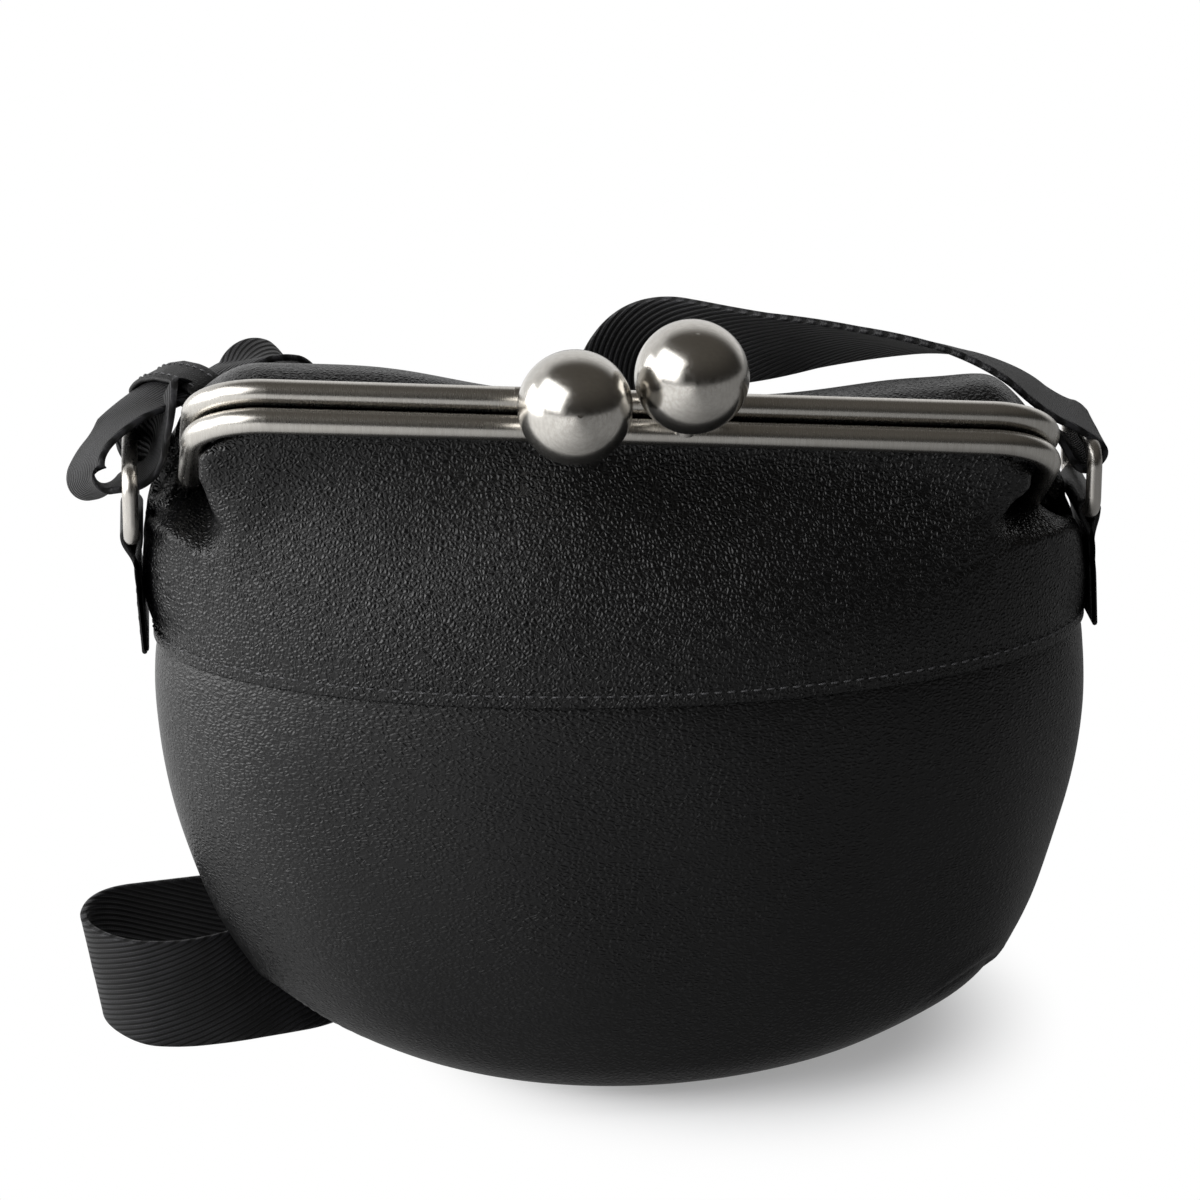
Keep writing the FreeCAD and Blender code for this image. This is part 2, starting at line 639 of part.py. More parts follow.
def build_ring(hand):
    """A rectangular wire ring, which turns about its lower bar in the tab's fold."""
    body = doc.addObject("PartDesign::Body", f"{hand}_ring")
    path = new_sketch(body, "YZ_Plane", f"{hand}_ring_path")
    half, tall, bend = size("ring_width") / 2, size("ring_height"), size("ring_bend")
    path.addGeometry([
        line((0, 0, 0), (half - bend, 0, 0)),
        arc((half - bend, bend, 0), bend, 1.5 * math.pi, 2 * math.pi),
        line((half, bend, 0), (half, tall - bend, 0)),
        arc((half - bend, tall - bend, 0), bend, 0, math.pi / 2),
        line((half - bend, tall, 0), (bend - half, tall, 0)),
        arc((bend - half, tall - bend, 0), bend, math.pi / 2, math.pi),
        line((-half, tall - bend, 0), (-half, bend, 0)),
        arc((bend - half, bend, 0), bend, math.pi, 1.5 * math.pi),
        line((bend - half, 0, 0), (0, 0, 0)),
    ])
    profile = new_sketch(body, "XZ_Plane", f"{hand}_ring_profile")
    profile.addGeometry(circle((0, 0, 0), size("ring_wire") / 2))
    relate(profile, ("Coincident", 0, 3, -1, 1))
    drive(profile, "wire", "Sizes.ring_wire", "Diameter", 0, size("ring_wire"))
    wire = body.newObject("PartDesign::AdditivePipe", f"{hand}_ring_wire")
    wire.Profile = profile
    wire.Spine = (path, [f"Edge{number}" for number in range(1, 10)])
    return keep(f"{hand}_ring", body, Placement(ring_centre(hand), Rotation()))


TAB_GRIP_DEGREES = 25


def build_tab(hand):
    """A leather strip folded round the ring's lower bar, its two layers sewn flat to the bag's side."""
    body = doc.addObject("PartDesign::Body", f"{hand}_tab")
    sketch = new_sketch(body, "XZ_Plane", f"{hand}_tab_fold")
    sign = SIDE_SIGNS[hand]
    bar = ring_centre(hand)
    inner = size("ring_wire") / 2 + size("ring_play")
    outer = inner + size("leather")
    slit = size("tab_slit") / 2
    grip = math.radians(TAB_GRIP_DEGREES)
    foot_x = sign * (size("body_width") / 2 + size("tab_stand") + size("leather") + slit)
    foot = size("tab_foot")
    band = slit + size("leather")
    pinch = -math.acos(slit / inner)
    ends = [-grip, math.pi + grip]
    far = [(bar.x + outer * math.cos(turn), bar.z + outer * math.sin(turn), 0) for turn in ends]
    near = [(bar.x + inner * math.cos(turn), bar.z + inner * math.sin(turn), 0)
            for turn in (pinch, math.pi - pinch)]
    sketch.addGeometry([
        arc((bar.x, bar.z, 0), outer, *ends),
        line(far[1], (foot_x - band, foot, 0)),
        line((foot_x - band, foot, 0), (foot_x - slit, foot, 0)),
        line((foot_x - slit, foot, 0), near[1]),
        arc((bar.x, bar.z, 0), inner, pinch, math.pi - pinch),
        line(near[0], (foot_x + slit, foot, 0)),
        line((foot_x + slit, foot, 0), (foot_x + band, foot, 0)),
        line((foot_x + band, foot, 0), far[0]),
    ])
    drive(sketch, "outer", "Sizes.ring_wire / 2 + Sizes.ring_play + Sizes.leather", "Radius", 0, outer)
    drive(sketch, "inner", "Sizes.ring_wire / 2 + Sizes.ring_play", "Radius", 4, inner)
    pad = body.newObject("PartDesign::Pad", f"{hand}_tab_pad")
    pad.Profile = sketch
    pad.Midplane = True
    pad.setExpression("Length", "Sizes.tab_width")
    return keep(f"{hand}_tab", body)


# shoulder strap

# the strap's middle line from its sewn end in the keeper, round the left ring, back through the keeper, down
# behind the bag, round the loop on the table and up to the right ring; beside each place is the way its width
# lies there
STRAP_ROUTE = (
    ((-103.9, 21.5, 179.5), (-0.5, 0.84, -0.2)),
    ((-109.5, 17.8, 177.5), (-0.5, 0.84, -0.2)),
    ((-117.1, 12.8, 174.8), (-0.5, 0.84, -0.2)),
    ((-127.5, 8.0, 169.0), (-0.4, 0.88, -0.25)),
    ((-135.0, 3.5, 162.0), (-0.38, 0.87, -0.33)),
    ((-135.5, 1.0, 152.5), (-0.3, 0.87, -0.4)),
    ((-130.5, 0.0, 147.6), (-0.15, 0.95, -0.2)),
    ((-125.5, 0.0, 151.5), (0.0, 1.0, 0.0)),
    ((-119.5, 0.0, 155.0), (0.0, 1.0, 0.0)),
    ((-116.5, 4.5, 164.0), (-0.15, 0.85, -0.45)),
    ((-114.6, 13.6, 172.8), (-0.45, 0.85, -0.25)),
    ((-108.5, 17.7, 174.9), (-0.5, 0.84, -0.2)),
    ((-100.9, 22.7, 177.6), (-0.5, 0.84, -0.2)),
    ((-94.5, 32.0, 179.5), (-0.86, 0.48, -0.1)),
    ((-88.0, 46.0, 175.0), (-0.9, 0.35, 0.0)),
    ((-81.0, 64.0, 153.0), (-0.6, 0.75, 0.1)),
    ((-72.0, 78.0, 124.0), (-0.25, 0.95, 0.1)),
    ((-58.0, 85.0, 92.0), (0.0, 1.0, 0.0)),
    ((-40.0, 90.0, 58.0), (0.0, 1.0, 0.0)),
    ((-18.0, 93.0, 30.0), (0.0, 1.0, 0.0)),
    ((4.0, 95.0, 20.0), (0.0, 1.0, 0.0)),
    ((17.0, 95.0, 9.0), (0.0, 1.0, 0.0)),
    ((4.0, 95.0, 1.2), (0.0, 1.0, 0.0)),
    ((-18.0, 93.0, 1.6), (0.0, 1.0, 0.05)),
    ((-40.0, 87.0, 5.0), (0.0, 0.9, 0.35)),
    ((-61.0, 76.0, 11.0), (-0.1, 0.6, 0.8)),
    ((-81.0, 60.0, 15.5), (0.0, 0.15, 1.0)),
    ((-100.0, 42.0, 15.5), (0.0, 0.0, 1.0)),
    ((-119.0, 35.0, 15.5), (0.0, 0.0, 1.0)),
    ((-136.0, 30.0, 15.5), (-0.1, 0.0, 1.0)),
    ((-140.0, 10.0, 15.5), (-0.2, 0.0, 1.0)),
    ((-129.0, -6.0, 15.5), (-0.15, 0.0, 1.0)),
    ((-110.0, -8.0, 15.0), (-0.2, -0.1, 1.0)),
    ((-99.0, -6.0, 12.0), (-0.68, -0.1, 0.73)),
    ((-90.0, 10.0, 10.5), (-0.8, 0.1, 0.6)),
    ((-87.0, 30.0, 10.0), (-0.72, 0.3, 0.62)),
    ((-76.0, 48.0, 9.0), (-0.6, 0.55, 0.58)),
    ((-54.0, 60.0, 6.5), (-0.3, 0.85, 0.4)),
    ((-24.0, 64.0, 2.6), (0.0, 1.0, 0.1)),
    ((22.0, 64.0, 1.2), (0.0, 1.0, 0.0)),
    ((47.0, 66.0, 10.0), (0.0, 1.0, 0.0)),
    ((47.0, 77.0, 38.0), (-0.1, 1.0, 0.0)),
    ((36.0, 84.0, 66.0), (-0.45, 0.85, 0.0)),
    ((20.0, 86.0, 94.0), (-0.8, 0.5, 0.1)),
    ((7.0, 85.0, 122.0), (-0.9, 0.2, 0.4)),
    ((5.0, 82.0, 145.0), (-0.85, 0.1, 0.5)),
    ((16.0, 77.0, 163.0), (-0.45, -0.05, 0.9)),
    ((38.0, 58.0, 168.0), (-0.29, -0.39, 0.88)),
    ((62.0, 42.0, 173.0), (-0.45, -0.65, 0.6)),
    ((83.0, 24.0, 177.5), (-0.55, -0.76, 0.32)),
    ((100.5, 11.0, 176.2), (-0.5, -0.84, 0.2)),
    ((111.5, 2.5, 170.5), (-0.25, -0.95, 0.15)),
    ((120.0, 0.0, 167.0), (0.0, -1.0, 0.0)),
    ((123.8, 0.0, 157.5), (0.0, -1.0, 0.0)),
    ((116.0, 0.0, 153.0), (0.0, -1.0, 0.0)),
    ((110.8, 0.0, 162.5), (0.0, -1.0, 0.0)),
    ((107.0, 6.5, 169.0), (-0.4, -0.9, 0.2)),
    ((100.0, 13.5, 173.2), (-0.5, -0.84, 0.2)),
)
# the route's points at which each stretch of the strap ends
STRAP_STRETCHES = (
    ("strap_left_loop", 0, 11),
    ("strap_back_fall", 11, 20),
    ("strap_table_loop", 20, 34),
    ("strap_back_rise", 34, 46),
    ("strap_right_run", 46, 51),
    ("strap_right_fold", 51, 58),
)
POINT_STATION_COUNT = 3
# the keeper's place on the strap's upper and lower layers
KEEPER_POINTS = (1.0, 11.05)


def clamped_curve(poles):
    """A smooth curve that the poles pull, through the first and the last."""
    knots = len(poles) - 1
    curve = Part.BSplineCurve()
    repeats = [3] + [1] * (knots - 2) + [3]
    curve.buildFromPolesMultsKnots(poles, repeats, [float(knot) for knot in range(knots)], False, 2)
    return curve


route_curve = clamped_curve([Vector(*place) for place, across in STRAP_ROUTE])
across_curve = clamped_curve([Vector(*across) for place, across in STRAP_ROUTE])
ROUTE_END = route_curve.LastParameter


def route_parameter(point):
    """The curve's parameter beside one of the route's points, counted from 0 to their number."""
    return ROUTE_END * point / len(STRAP_ROUTE)


def strap_frame(parameter):
    """A place on the strap with its length, width and thickness directions."""
    ahead = Vector(*route_curve.tangent(parameter)[0]).normalize()
    across = across_curve.value(parameter)
    across = (across - ahead * across.dot(ahead)).normalize()
    return route_curve.value(parameter), ahead, across, ahead.cross(across)


def build_strap():
    """The webbing, stretch by stretch, each a band of the strap's section drawn through the route."""
    half_width = size("strap_width") / 2
    half_thickness = size("strap_thickness") / 2
    for label, first, end in STRAP_STRETCHES:
        start, stop = route_parameter(first), route_parameter(end)
        count = POINT_STATION_COUNT * (end - first)
        sections = []
        for number in range(count + 1):
            place, ahead, across, square = strap_frame(start + (stop - start) * number / count)
            corners = [place + across * (half_width * wide) + square * (half_thickness * thick)
                       for wide, thick in ((1, 1), (-1, 1), (-1, -1), (1, -1))]
            sections.append(Part.makePolygon(corners + corners[:1]))
        band = Part.makeLoft(sections, True, True)
        keep_shape(label, band)
        length = route_curve.length(start, stop)
        filled = band.Volume / (size("strap_width") * size("strap_thickness") * length)
        print(f"{label}: {length:.1f} mm, volume over section times length {filled:.3f}")
    print(f"strap in all: {route_curve.length():.1f} mm")


def rounded_box_sketch(body, name, width, height, corner):
    """A rounded rectangle about the origin."""
    sketch = new_sketch(body, "XY_Plane", name)
    half, tall = width / 2 - corner, height / 2 - corner
    sketch.addGeometry([
        line((-half, -tall - corner, 0), (half, -tall - corner, 0)),
        arc((half, -tall, 0), corner, 1.5 * math.pi, 2 * math.pi),
        line((half + corner, -tall, 0), (half + corner, tall, 0)),
        arc((half, tall, 0), corner, 0, math.pi / 2),
        line((half, tall + corner, 0), (-half, tall + corner, 0)),
        arc((-half, tall, 0), corner, math.pi / 2, math.pi),
        line((-half - corner, tall, 0), (-half - corner, -tall, 0)),
        arc((-half, -tall, 0), corner, math.pi, 1.5 * math.pi),
    ])
    return sketch


KEEPER_CORNER_SHARE = 0.12


def build_keeper():
    """The leather keeper round the strap's two layers."""
    body = doc.addObject("PartDesign::Body", "strap_keeper")
    over, under = (strap_frame(route_parameter(point)) for point in KEEPER_POINTS)
    place, ahead, across, square = under
    apart = (over[0] - place).dot(square)
    stack = abs(apart) + size("strap_thickness") + 2 * size("keeper_room")
    width = size("strap_width") + 2 * size("keeper_room")
    wall = size("keeper_wall")
    corner = KEEPER_CORNER_SHARE * stack
    outer = body.newObject("PartDesign::Pad", "keeper_pad")
    outer.Profile = rounded_box_sketch(body, "keeper_outside", width + 2 * wall, stack + 2 * wall,
                                       corner + wall)
    outer.Midplane = True
    outer.setExpression("Length", "Sizes.keeper_length")
    inner = body.newObject("PartDesign::Pocket", "keeper_room")
    inner.Profile = rounded_box_sketch(body, "keeper_inside", width, stack, corner)
    inner.Midplane = True
    inner.setExpression("Length", "Sizes.keeper_length * 2")
    turn = Rotation(across, square, ahead, "ZXY")
    centre = place + square * (apart / 2)
    return keep("strap_keeper", body, Placement(centre, turn))


for half_name, play_name in zip(FRAME_NAMES, ("rivet_play", "rivet_fit")):
    build_frame(half_name, play_name)
    build_channel_cord(half_name)
    build_clasp(half_name)
    build_panel(half_name)
    build_yoke(half_name)
for hand_name in SIDE_SIGNS:
    build_hinge(hand_name)
    build_ring(hand_name)
    build_tab(hand_name)
build_base()
build_lining()
build_strap()
build_keeper()

doc.recompute()
failed = [item.Name for item in doc.Objects if {"Invalid", "Error"} & set(item.State)]
failed += [item.Label for item in sub_parts if item.Shape.isNull() or not item.Shape.isValid()]
if failed:
    raise RuntimeError(f"not built: {failed}")
for item in sub_parts:
    item.Shape.exportStep(f"parts/{item.Label}.step")
print(f"{len(sub_parts)} sub-parts written")
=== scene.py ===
"""Looks of a kiss lock frame purse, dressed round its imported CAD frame."""

import logging
import math
from dataclasses import dataclass
from enum import Enum
from typing import Any, Sequence

import bmesh
import bpy
import numpy as np
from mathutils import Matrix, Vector


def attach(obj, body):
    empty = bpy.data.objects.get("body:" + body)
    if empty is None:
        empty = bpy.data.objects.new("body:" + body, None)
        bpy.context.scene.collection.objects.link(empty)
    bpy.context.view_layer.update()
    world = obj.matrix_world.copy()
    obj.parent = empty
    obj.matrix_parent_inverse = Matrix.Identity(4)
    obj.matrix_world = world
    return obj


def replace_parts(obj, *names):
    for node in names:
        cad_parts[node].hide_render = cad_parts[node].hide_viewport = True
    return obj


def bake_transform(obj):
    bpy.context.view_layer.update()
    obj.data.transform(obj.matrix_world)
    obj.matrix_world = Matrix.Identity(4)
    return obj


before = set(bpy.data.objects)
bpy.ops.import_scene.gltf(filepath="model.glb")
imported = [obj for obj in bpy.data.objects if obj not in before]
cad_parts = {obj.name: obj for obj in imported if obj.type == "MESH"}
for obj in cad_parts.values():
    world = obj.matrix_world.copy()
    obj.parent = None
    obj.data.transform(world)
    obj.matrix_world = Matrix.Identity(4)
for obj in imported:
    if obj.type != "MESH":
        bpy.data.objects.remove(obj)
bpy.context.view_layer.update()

LOG = logging.getLogger("purse")
MM = 0.001
WHITE = (1.0, 1.0, 1.0, 1.0)
Array = np.ndarray
Colour = tuple[float, float, float, float]
Triple = tuple[float, float, float]
Span = tuple[float, float]
Table = tuple[tuple[float, float], ...]
Faces = list[tuple[int, ...]]
Socket = bpy.types.NodeSocket
Tree = bpy.types.NodeTree
Material = bpy.types.Material
Piece = bpy.types.Object


class Slot(Enum):
    """The record's material slots."""

    BODY = "body_leather"
    TRIM = "trim_leather"
    BASE = "base_leather"
    LINING = "lining_fabric"
    FRAME = "frame_metal"
    BALL = "ball_metal"
    RING = "ring_metal"
    CORD = "channel_cord"
    WEBBING = "webbing"


class Labelled(Enum):
    """A choice whose name is part of the CAD nodes' names."""

    @property
    def label(self) -> str:
        """The choice's name as the CAD nodes have it."""
        return self.name.lower()


class Side(Labelled):
    """The two halves of the purse, by the way their leather faces."""

    FRONT = -1
    REAR = 1


class Hand(Labelled):
    """The purse's left and right, by the sign of X."""

    LEFT = -1
    RIGHT = 1


# Shader helpers

class Nodes:
    """A node tree with short calls that add nodes and join them."""

    # The Mix node's share, its two colours and its result, by socket number
    mix_inputs = (0, 6, 7)
    mix_output = 2

    def __init__(self, tree: Tree) -> None:
        """Work on one tree."""
        self.tree = tree

    def add(self, kind: str, inputs: dict[Any, Any] | None = None, **settings: Any) -> bpy.types.Node:
        """Add a node.

        Args:
            kind: the node's type without its ShaderNode prefix.
            inputs: values or sockets to feed, by input name or number.
            settings: the node's own properties.

        Returns:
            The new node.
        """
        node = self.tree.nodes.new("ShaderNode" + kind)
        for name, value in settings.items():
            setattr(node, name, value)
        self.feed(node, inputs or {})
        return node

    def feed(self, node: bpy.types.Node, inputs: dict[Any, Any]) -> None:
        """Join sockets to a node's inputs, or set the inputs' own values.

        Args:
            node: the node that is fed.
            inputs: values or sockets, by input name or number.
        """
        for name, value in inputs.items():
            if isinstance(value, Socket):
                self.tree.links.new(value, node.inputs[name])
            else:
                node.inputs[name].default_value = value

    def calc(self, operation: str, first: Any, second: Any = 0.0) -> Socket:
        """One step of arithmetic on two values."""
        return self.add("Math", {0: first, 1: second}, operation=operation).outputs[0]

    def vector(self, operation: str, first: Any, second: Any) -> Socket:
        """One step of arithmetic on two vectors."""
        return self.add("VectorMath", {0: first, 1: second}, operation=operation).outputs[0]

    def weigh(self, first: Socket, first_weight: float, second: Socket, second_weight: float) -> Socket:
        """The sum of two values, each times its weight."""
        parts = [self.calc("MULTIPLY", first, first_weight), self.calc("MULTIPLY", second, second_weight)]
        return self.calc("ADD", *parts)

    def remap(self, value: Socket, low: float, high: float, start: float = 0.0, end: float = 1.0) -> Socket:
        """Carry a value smoothly from one span to another.

        Args:
            value: the value to carry over.
            low: where the first span starts.
            high: where the first span ends.
            start: where the second span starts.
            end: where the second span ends.

        Returns:
            The carried value.
        """
        node = self.add("MapRange", {"Value": value, "From Min": low, "From Max": high, "To Min": start,
                                     "To Max": end}, interpolation_type="SMOOTHSTEP")
        return node.outputs["Result"]

    def tint(self, share: Any, first: Any, second: Any) -> Socket:
        """Mix two colours by a share."""
        inputs = dict(zip(self.mix_inputs, (share, first, second)))
        return self.add("Mix", inputs, data_type="RGBA").outputs[self.mix_output]

    def noise(self, vector: Socket, scale: Any, detail: float = 2.0) -> Socket:
        """The value of a noise at a place."""
        return self.add("TexNoise", {"Vector": vector, "Scale": scale, "Detail": detail}).outputs["Fac"]

    def group(self, tree: Tree, **inputs: Any) -> Any:
        """Add a shared group, feed its inputs and give its outputs."""
        return self.add("Group", inputs, node_tree=tree).outputs

    def bump(self, height: Socket, depth: float) -> Socket:
        """The normals of a surface that rises with a height."""
        node = self.add("Bump", {"Height": height, "Distance": depth, "Strength": 1.0})
        return node.outputs["Normal"]


def open_group(name: str, inputs: dict[str, str], outputs: dict[str, str]) -> tuple[Nodes, Any, bpy.types.Node]:
    """Start a shader node group.

    Args:
        name: the group's name.
        inputs: socket types by name.
        outputs: socket types by name.

    Returns:
        The group's nodes, its input node's outputs and its output node.
    """
    tree = bpy.data.node_groups.new(name, "ShaderNodeTree")
    for way, sockets in (("INPUT", inputs), ("OUTPUT", outputs)):
        for label, kind in sockets.items():
            tree.interface.new_socket(label, in_out=way, socket_type="NodeSocket" + kind)
    entry, leave = tree.nodes.new("NodeGroupInput"), tree.nodes.new("NodeGroupOutput")
    return Nodes(tree), entry.outputs, leave


def pebble_group() -> Tree:
    """Leather's grain: pebbles parted by creases, deeper in some places than in others.

    Returns:
        The group.
    """
    warp_scale, warp_reach, crease_width = 0.5, 1.1, 0.42
    fine_scale, fine_height, pebble_height = 2.4, 0.22, 0.8
    slow_scale, slow_band, shallowest = 0.035, (0.35, 0.65), 0.72
    nodes, given, leave = open_group("pebble_grain", {"Vector": "Vector", "Size": "Float"},
                                     {"Height": "Float", "Crease": "Float"})
    place, size = given["Vector"], given["Size"]
    scale = nodes.calc("DIVIDE", 1.0, size)
    warp = nodes.add("TexNoise", {"Vector": place, "Scale": nodes.calc("MULTIPLY", scale, warp_scale)})
    shift = nodes.vector("SUBTRACT", warp.outputs["Color"], (0.5, 0.5, 0.5))
    sway = nodes.add("VectorMath", {0: shift, "Scale": nodes.calc("MULTIPLY", size, warp_reach)},
                     operation="SCALE").outputs[0]
    cells = nodes.add("TexVoronoi", {"Vector": nodes.vector("ADD", place, sway), "Scale": scale},
                      feature="DISTANCE_TO_EDGE")
    pebble = nodes.remap(cells.outputs["Distance"], 0.0, crease_width)
    fine = nodes.noise(place, nodes.calc("MULTIPLY", scale, fine_scale))
    slow = nodes.remap(nodes.noise(place, nodes.calc("MULTIPLY", scale, slow_scale)), *slow_band, shallowest)
    raised = nodes.calc("MULTIPLY", pebble, slow)
    nodes.feed(leave, {"Height": nodes.weigh(raised, pebble_height, fine, fine_height),
                       "Crease": nodes.calc("SUBTRACT", 1.0, pebble)})
    return nodes.tree


def mottle_group() -> Tree:
    """Slow drift over a surface, for dye, handling and dust.

    Returns:
        The group.
    """
    detail, band = 5.0, (0.32, 0.68)
    nodes, given, leave = open_group("slow_mottle", {"Vector": "Vector", "Size": "Float"}, {"Drift": "Float"})
    scale = nodes.calc("DIVIDE", 1.0, given["Size"])
    nodes.feed(leave, {"Drift": nodes.remap(nodes.noise(given["Vector"], scale, detail), *band)})
    return nodes.tree


def streak_group() -> Tree:
    """Brushed lines, drawn out along the axis whose lay is small.

    Returns:
        The group.
    """
    broad_detail, fine_scale, band = 3.0, 4.5, (0.36, 0.64)
    nodes, given, leave = open_group("brushed_streaks", {"Vector": "Vector", "Lay": "Vector", "Size": "Float"},
                                     {"Streak": "Float"})
    drawn = nodes.vector("MULTIPLY", given["Vector"], given["Lay"])
    scale = nodes.calc("DIVIDE", 1.0, given["Size"])
    broad = nodes.noise(drawn, scale, broad_detail)
    fine = nodes.noise(drawn, nodes.calc("MULTIPLY", scale, fine_scale))
    nodes.feed(leave, {"Streak": nodes.remap(nodes.weigh(broad, 0.5, fine, 0.5), *band)})
    return nodes.tree


def rib_group() -> Tree:
    """Twill ribs that climb across a cloth, with the threads that cross them.

    Returns:
        The group.
    """
    rib_pitch, thread_pitch, band = 1.0, 0.55, (0.02, 0.75)
    rib_height, thread_height = 0.85, 0.15
    nodes, given, leave = open_group("twill_ribs", {"Vector": "Vector", "Pitch": "Float", "Turn": "Float"},
                                     {"Height": "Float", "Gap": "Float"})
    turned = nodes.add("VectorRotate", {"Vector": given["Vector"], "Angle": given["Turn"]},
                       rotation_type="Z_AXIS").outputs[0]
    apart = nodes.add("SeparateXYZ", {0: turned}).outputs
    waves = []
    for axis, pitch in (("Y", rib_pitch), ("X", thread_pitch)):
        phase = nodes.calc("DIVIDE", apart[axis], nodes.calc("MULTIPLY", given["Pitch"], pitch))
        wave = nodes.calc("SINE", nodes.calc("MULTIPLY", phase, 2 * math.pi))
        waves.append(nodes.add("Math", {0: wave, 1: 0.5, 2: 0.5}, operation="MULTIPLY_ADD").outputs[0])
    ribs = nodes.remap(waves[0], *band)
    threads = nodes.calc("MULTIPLY", waves[1], ribs)
    nodes.feed(leave, {"Height": nodes.weigh(ribs, rib_height, threads, thread_height),
                       "Gap": nodes.calc("SUBTRACT", 1.0, ribs)})
    return nodes.tree


@dataclass(frozen=True)
class Effects:
    """The node groups that the finishes share."""

    pebble: Tree
    mottle: Tree
    streak: Tree
    rib: Tree

    @classmethod
    def build(cls) -> "Effects":
        """Make each group once."""
        return cls(pebble_group(), mottle_group(), streak_group(), rib_group())


def blank_material(name: str) -> tuple[Material, Nodes, bpy.types.Node]:
    """Start a material.

    Args:
        name: the material's name.

    Returns:
        The material, its nodes and its Principled shader.
    """
    material = bpy.data.materials.new(name)
    material.use_nodes = True
    return material, Nodes(material.node_tree), material.node_tree.nodes["Principled BSDF"]


# Finishes

@dataclass(frozen=True)
class LeatherFinish:
    """Pebbled, dyed leather."""

    name: str
    tone: Colour = (0.0026, 0.0027, 0.0030, 1.0)
    worn_tone: Colour = (0.0042, 0.0043, 0.0048, 1.0)
    # Painted shade: a darker tone for the grain's creases, where shade falls.
    crease_shade_tone: Colour = (0.0015, 0.0015, 0.0017, 1.0)
    smooth: float = 0.22
    rough: float = 0.36
    rough_at: float = 1.2
    wear: float = 0.4
    grain: float = 1.2 * MM
    depth: float = 0.36 * MM
    drift: float = 45 * MM
    gloss: float = 0.40
    stretch: Triple = (1.0, 1.0, 1.0)

    def material(self, effects: Effects) -> Material:
        """Dye, grain and a low gloss that drops in the creases, where painted shade also darkens the dye.

        Args:
            effects: the shared node groups.

        Returns:
            The leather's material.
        """
        material, nodes, shader = blank_material(self.name)
        place = nodes.add("TexCoord").outputs["Object"]
        drawn = nodes.vector("MULTIPLY", place, self.stretch)
        grain = nodes.group(effects.pebble, Vector=drawn, Size=self.grain)
        drift = nodes.group(effects.mottle, Vector=place, Size=self.drift)["Drift"]
        dyed = nodes.tint(drift, self.tone, self.worn_tone)
        dulled = nodes.calc("ADD", grain["Crease"], nodes.calc("MULTIPLY", drift, self.wear))
        nodes.feed(shader, {
            # Painted shade: the dye goes darker in the grain's creases.
            "Base Color": nodes.tint(grain["Crease"], dyed, self.crease_shade_tone),
            "Roughness": nodes.remap(dulled, 0.0, self.rough_at, self.smooth, self.rough),
            "Specular IOR Level": self.gloss,
            "Normal": nodes.bump(grain["Height"], self.depth),
        })
        return material


@dataclass(frozen=True)
class MetalFinish:
    """Brushed satin nickel."""

    name: str
    tone: Colour = (0.66, 0.64, 0.60, 1.0)
    dull_tone: Colour = (0.57, 0.545, 0.505, 1.0)
    smooth: float = 0.26
    rough: float = 0.30
    handling: float = 0.25
    drift: float = 18 * MM
    lay: Triple = (1.0, 0.06, 0.06)
    line: float = 0.6 * MM
    depth: float = 0.00004 * MM

    def material(self, effects: Effects) -> Material:
        """Nickel with fine lines, duller where they lie close.

        Args:
            effects: the shared node groups.

        Returns:
            The metal's material.
        """
        material, nodes, shader = blank_material(self.name)
        place = nodes.add("TexCoord").outputs["Object"]
        streak = nodes.group(effects.streak, Vector=place, Lay=self.lay, Size=self.line)["Streak"]
        drift = nodes.group(effects.mottle, Vector=place, Size=self.drift)["Drift"]
        brushed = nodes.tint(streak, self.tone, self.dull_tone)
        handled = nodes.calc("MULTIPLY", drift, self.handling)
        dulled = nodes.calc("ADD", streak, handled)
        nodes.feed(shader, {
            "Base Color": nodes.tint(handled, brushed, self.dull_tone),
            "Roughness": nodes.remap(dulled, 0.0, 1.0 + self.handling, self.smooth, self.rough),
            "Metallic": 1.0,
            "Normal": nodes.bump(streak, self.depth),
        })
        return material


@dataclass(frozen=True)
class WovenFinish:
    """Ribbed cloth: the strap's webbing and the lining's twill."""

    name: str
    tone: Colour
    worn_tone: Colour
    # Painted shade: a darker tone for the gaps between the ribs.
    gap_shade_tone: Colour
    pitch: float
    turn: float
    depth: float
    coordinate: str
    smooth: float = 0.48
    rough: float = 0.80
    sheen: float = 0.02
    gloss: float = 0.24
    drift: float = 12 * MM
    fuzz: float = 0.35 * MM
    fuzz_height: float = 0.15

    def material(self, effects: Effects) -> Material:
        """Ribs that catch the light, with painted shade in the gaps between them.

        Args:
            effects: the shared node groups.

        Returns:
            The cloth's material.
        """
        material, nodes, shader = blank_material(self.name)
        places = nodes.add("TexCoord").outputs
        ribs = nodes.group(effects.rib, Vector=places[self.coordinate], Pitch=self.pitch, Turn=self.turn)
        drift = nodes.group(effects.mottle, Vector=places["Object"], Size=self.drift)["Drift"]
        yarn = nodes.tint(drift, self.tone, self.worn_tone)
        fuzz = nodes.calc("MULTIPLY", nodes.noise(places["Object"], 1.0 / self.fuzz), self.fuzz_height)
        nodes.feed(shader, {
            # Painted shade: the yarn goes darker in the gaps between the ribs.
            "Base Color": nodes.tint(ribs["Gap"], yarn, self.gap_shade_tone),
            "Roughness": nodes.remap(ribs["Gap"], 0.0, 1.0, self.smooth, self.rough),
            "Sheen Weight": self.sheen,
            "Specular IOR Level": self.gloss,
            "Normal": nodes.bump(nodes.calc("ADD", ribs["Height"], fuzz), self.depth),
        })
        return material


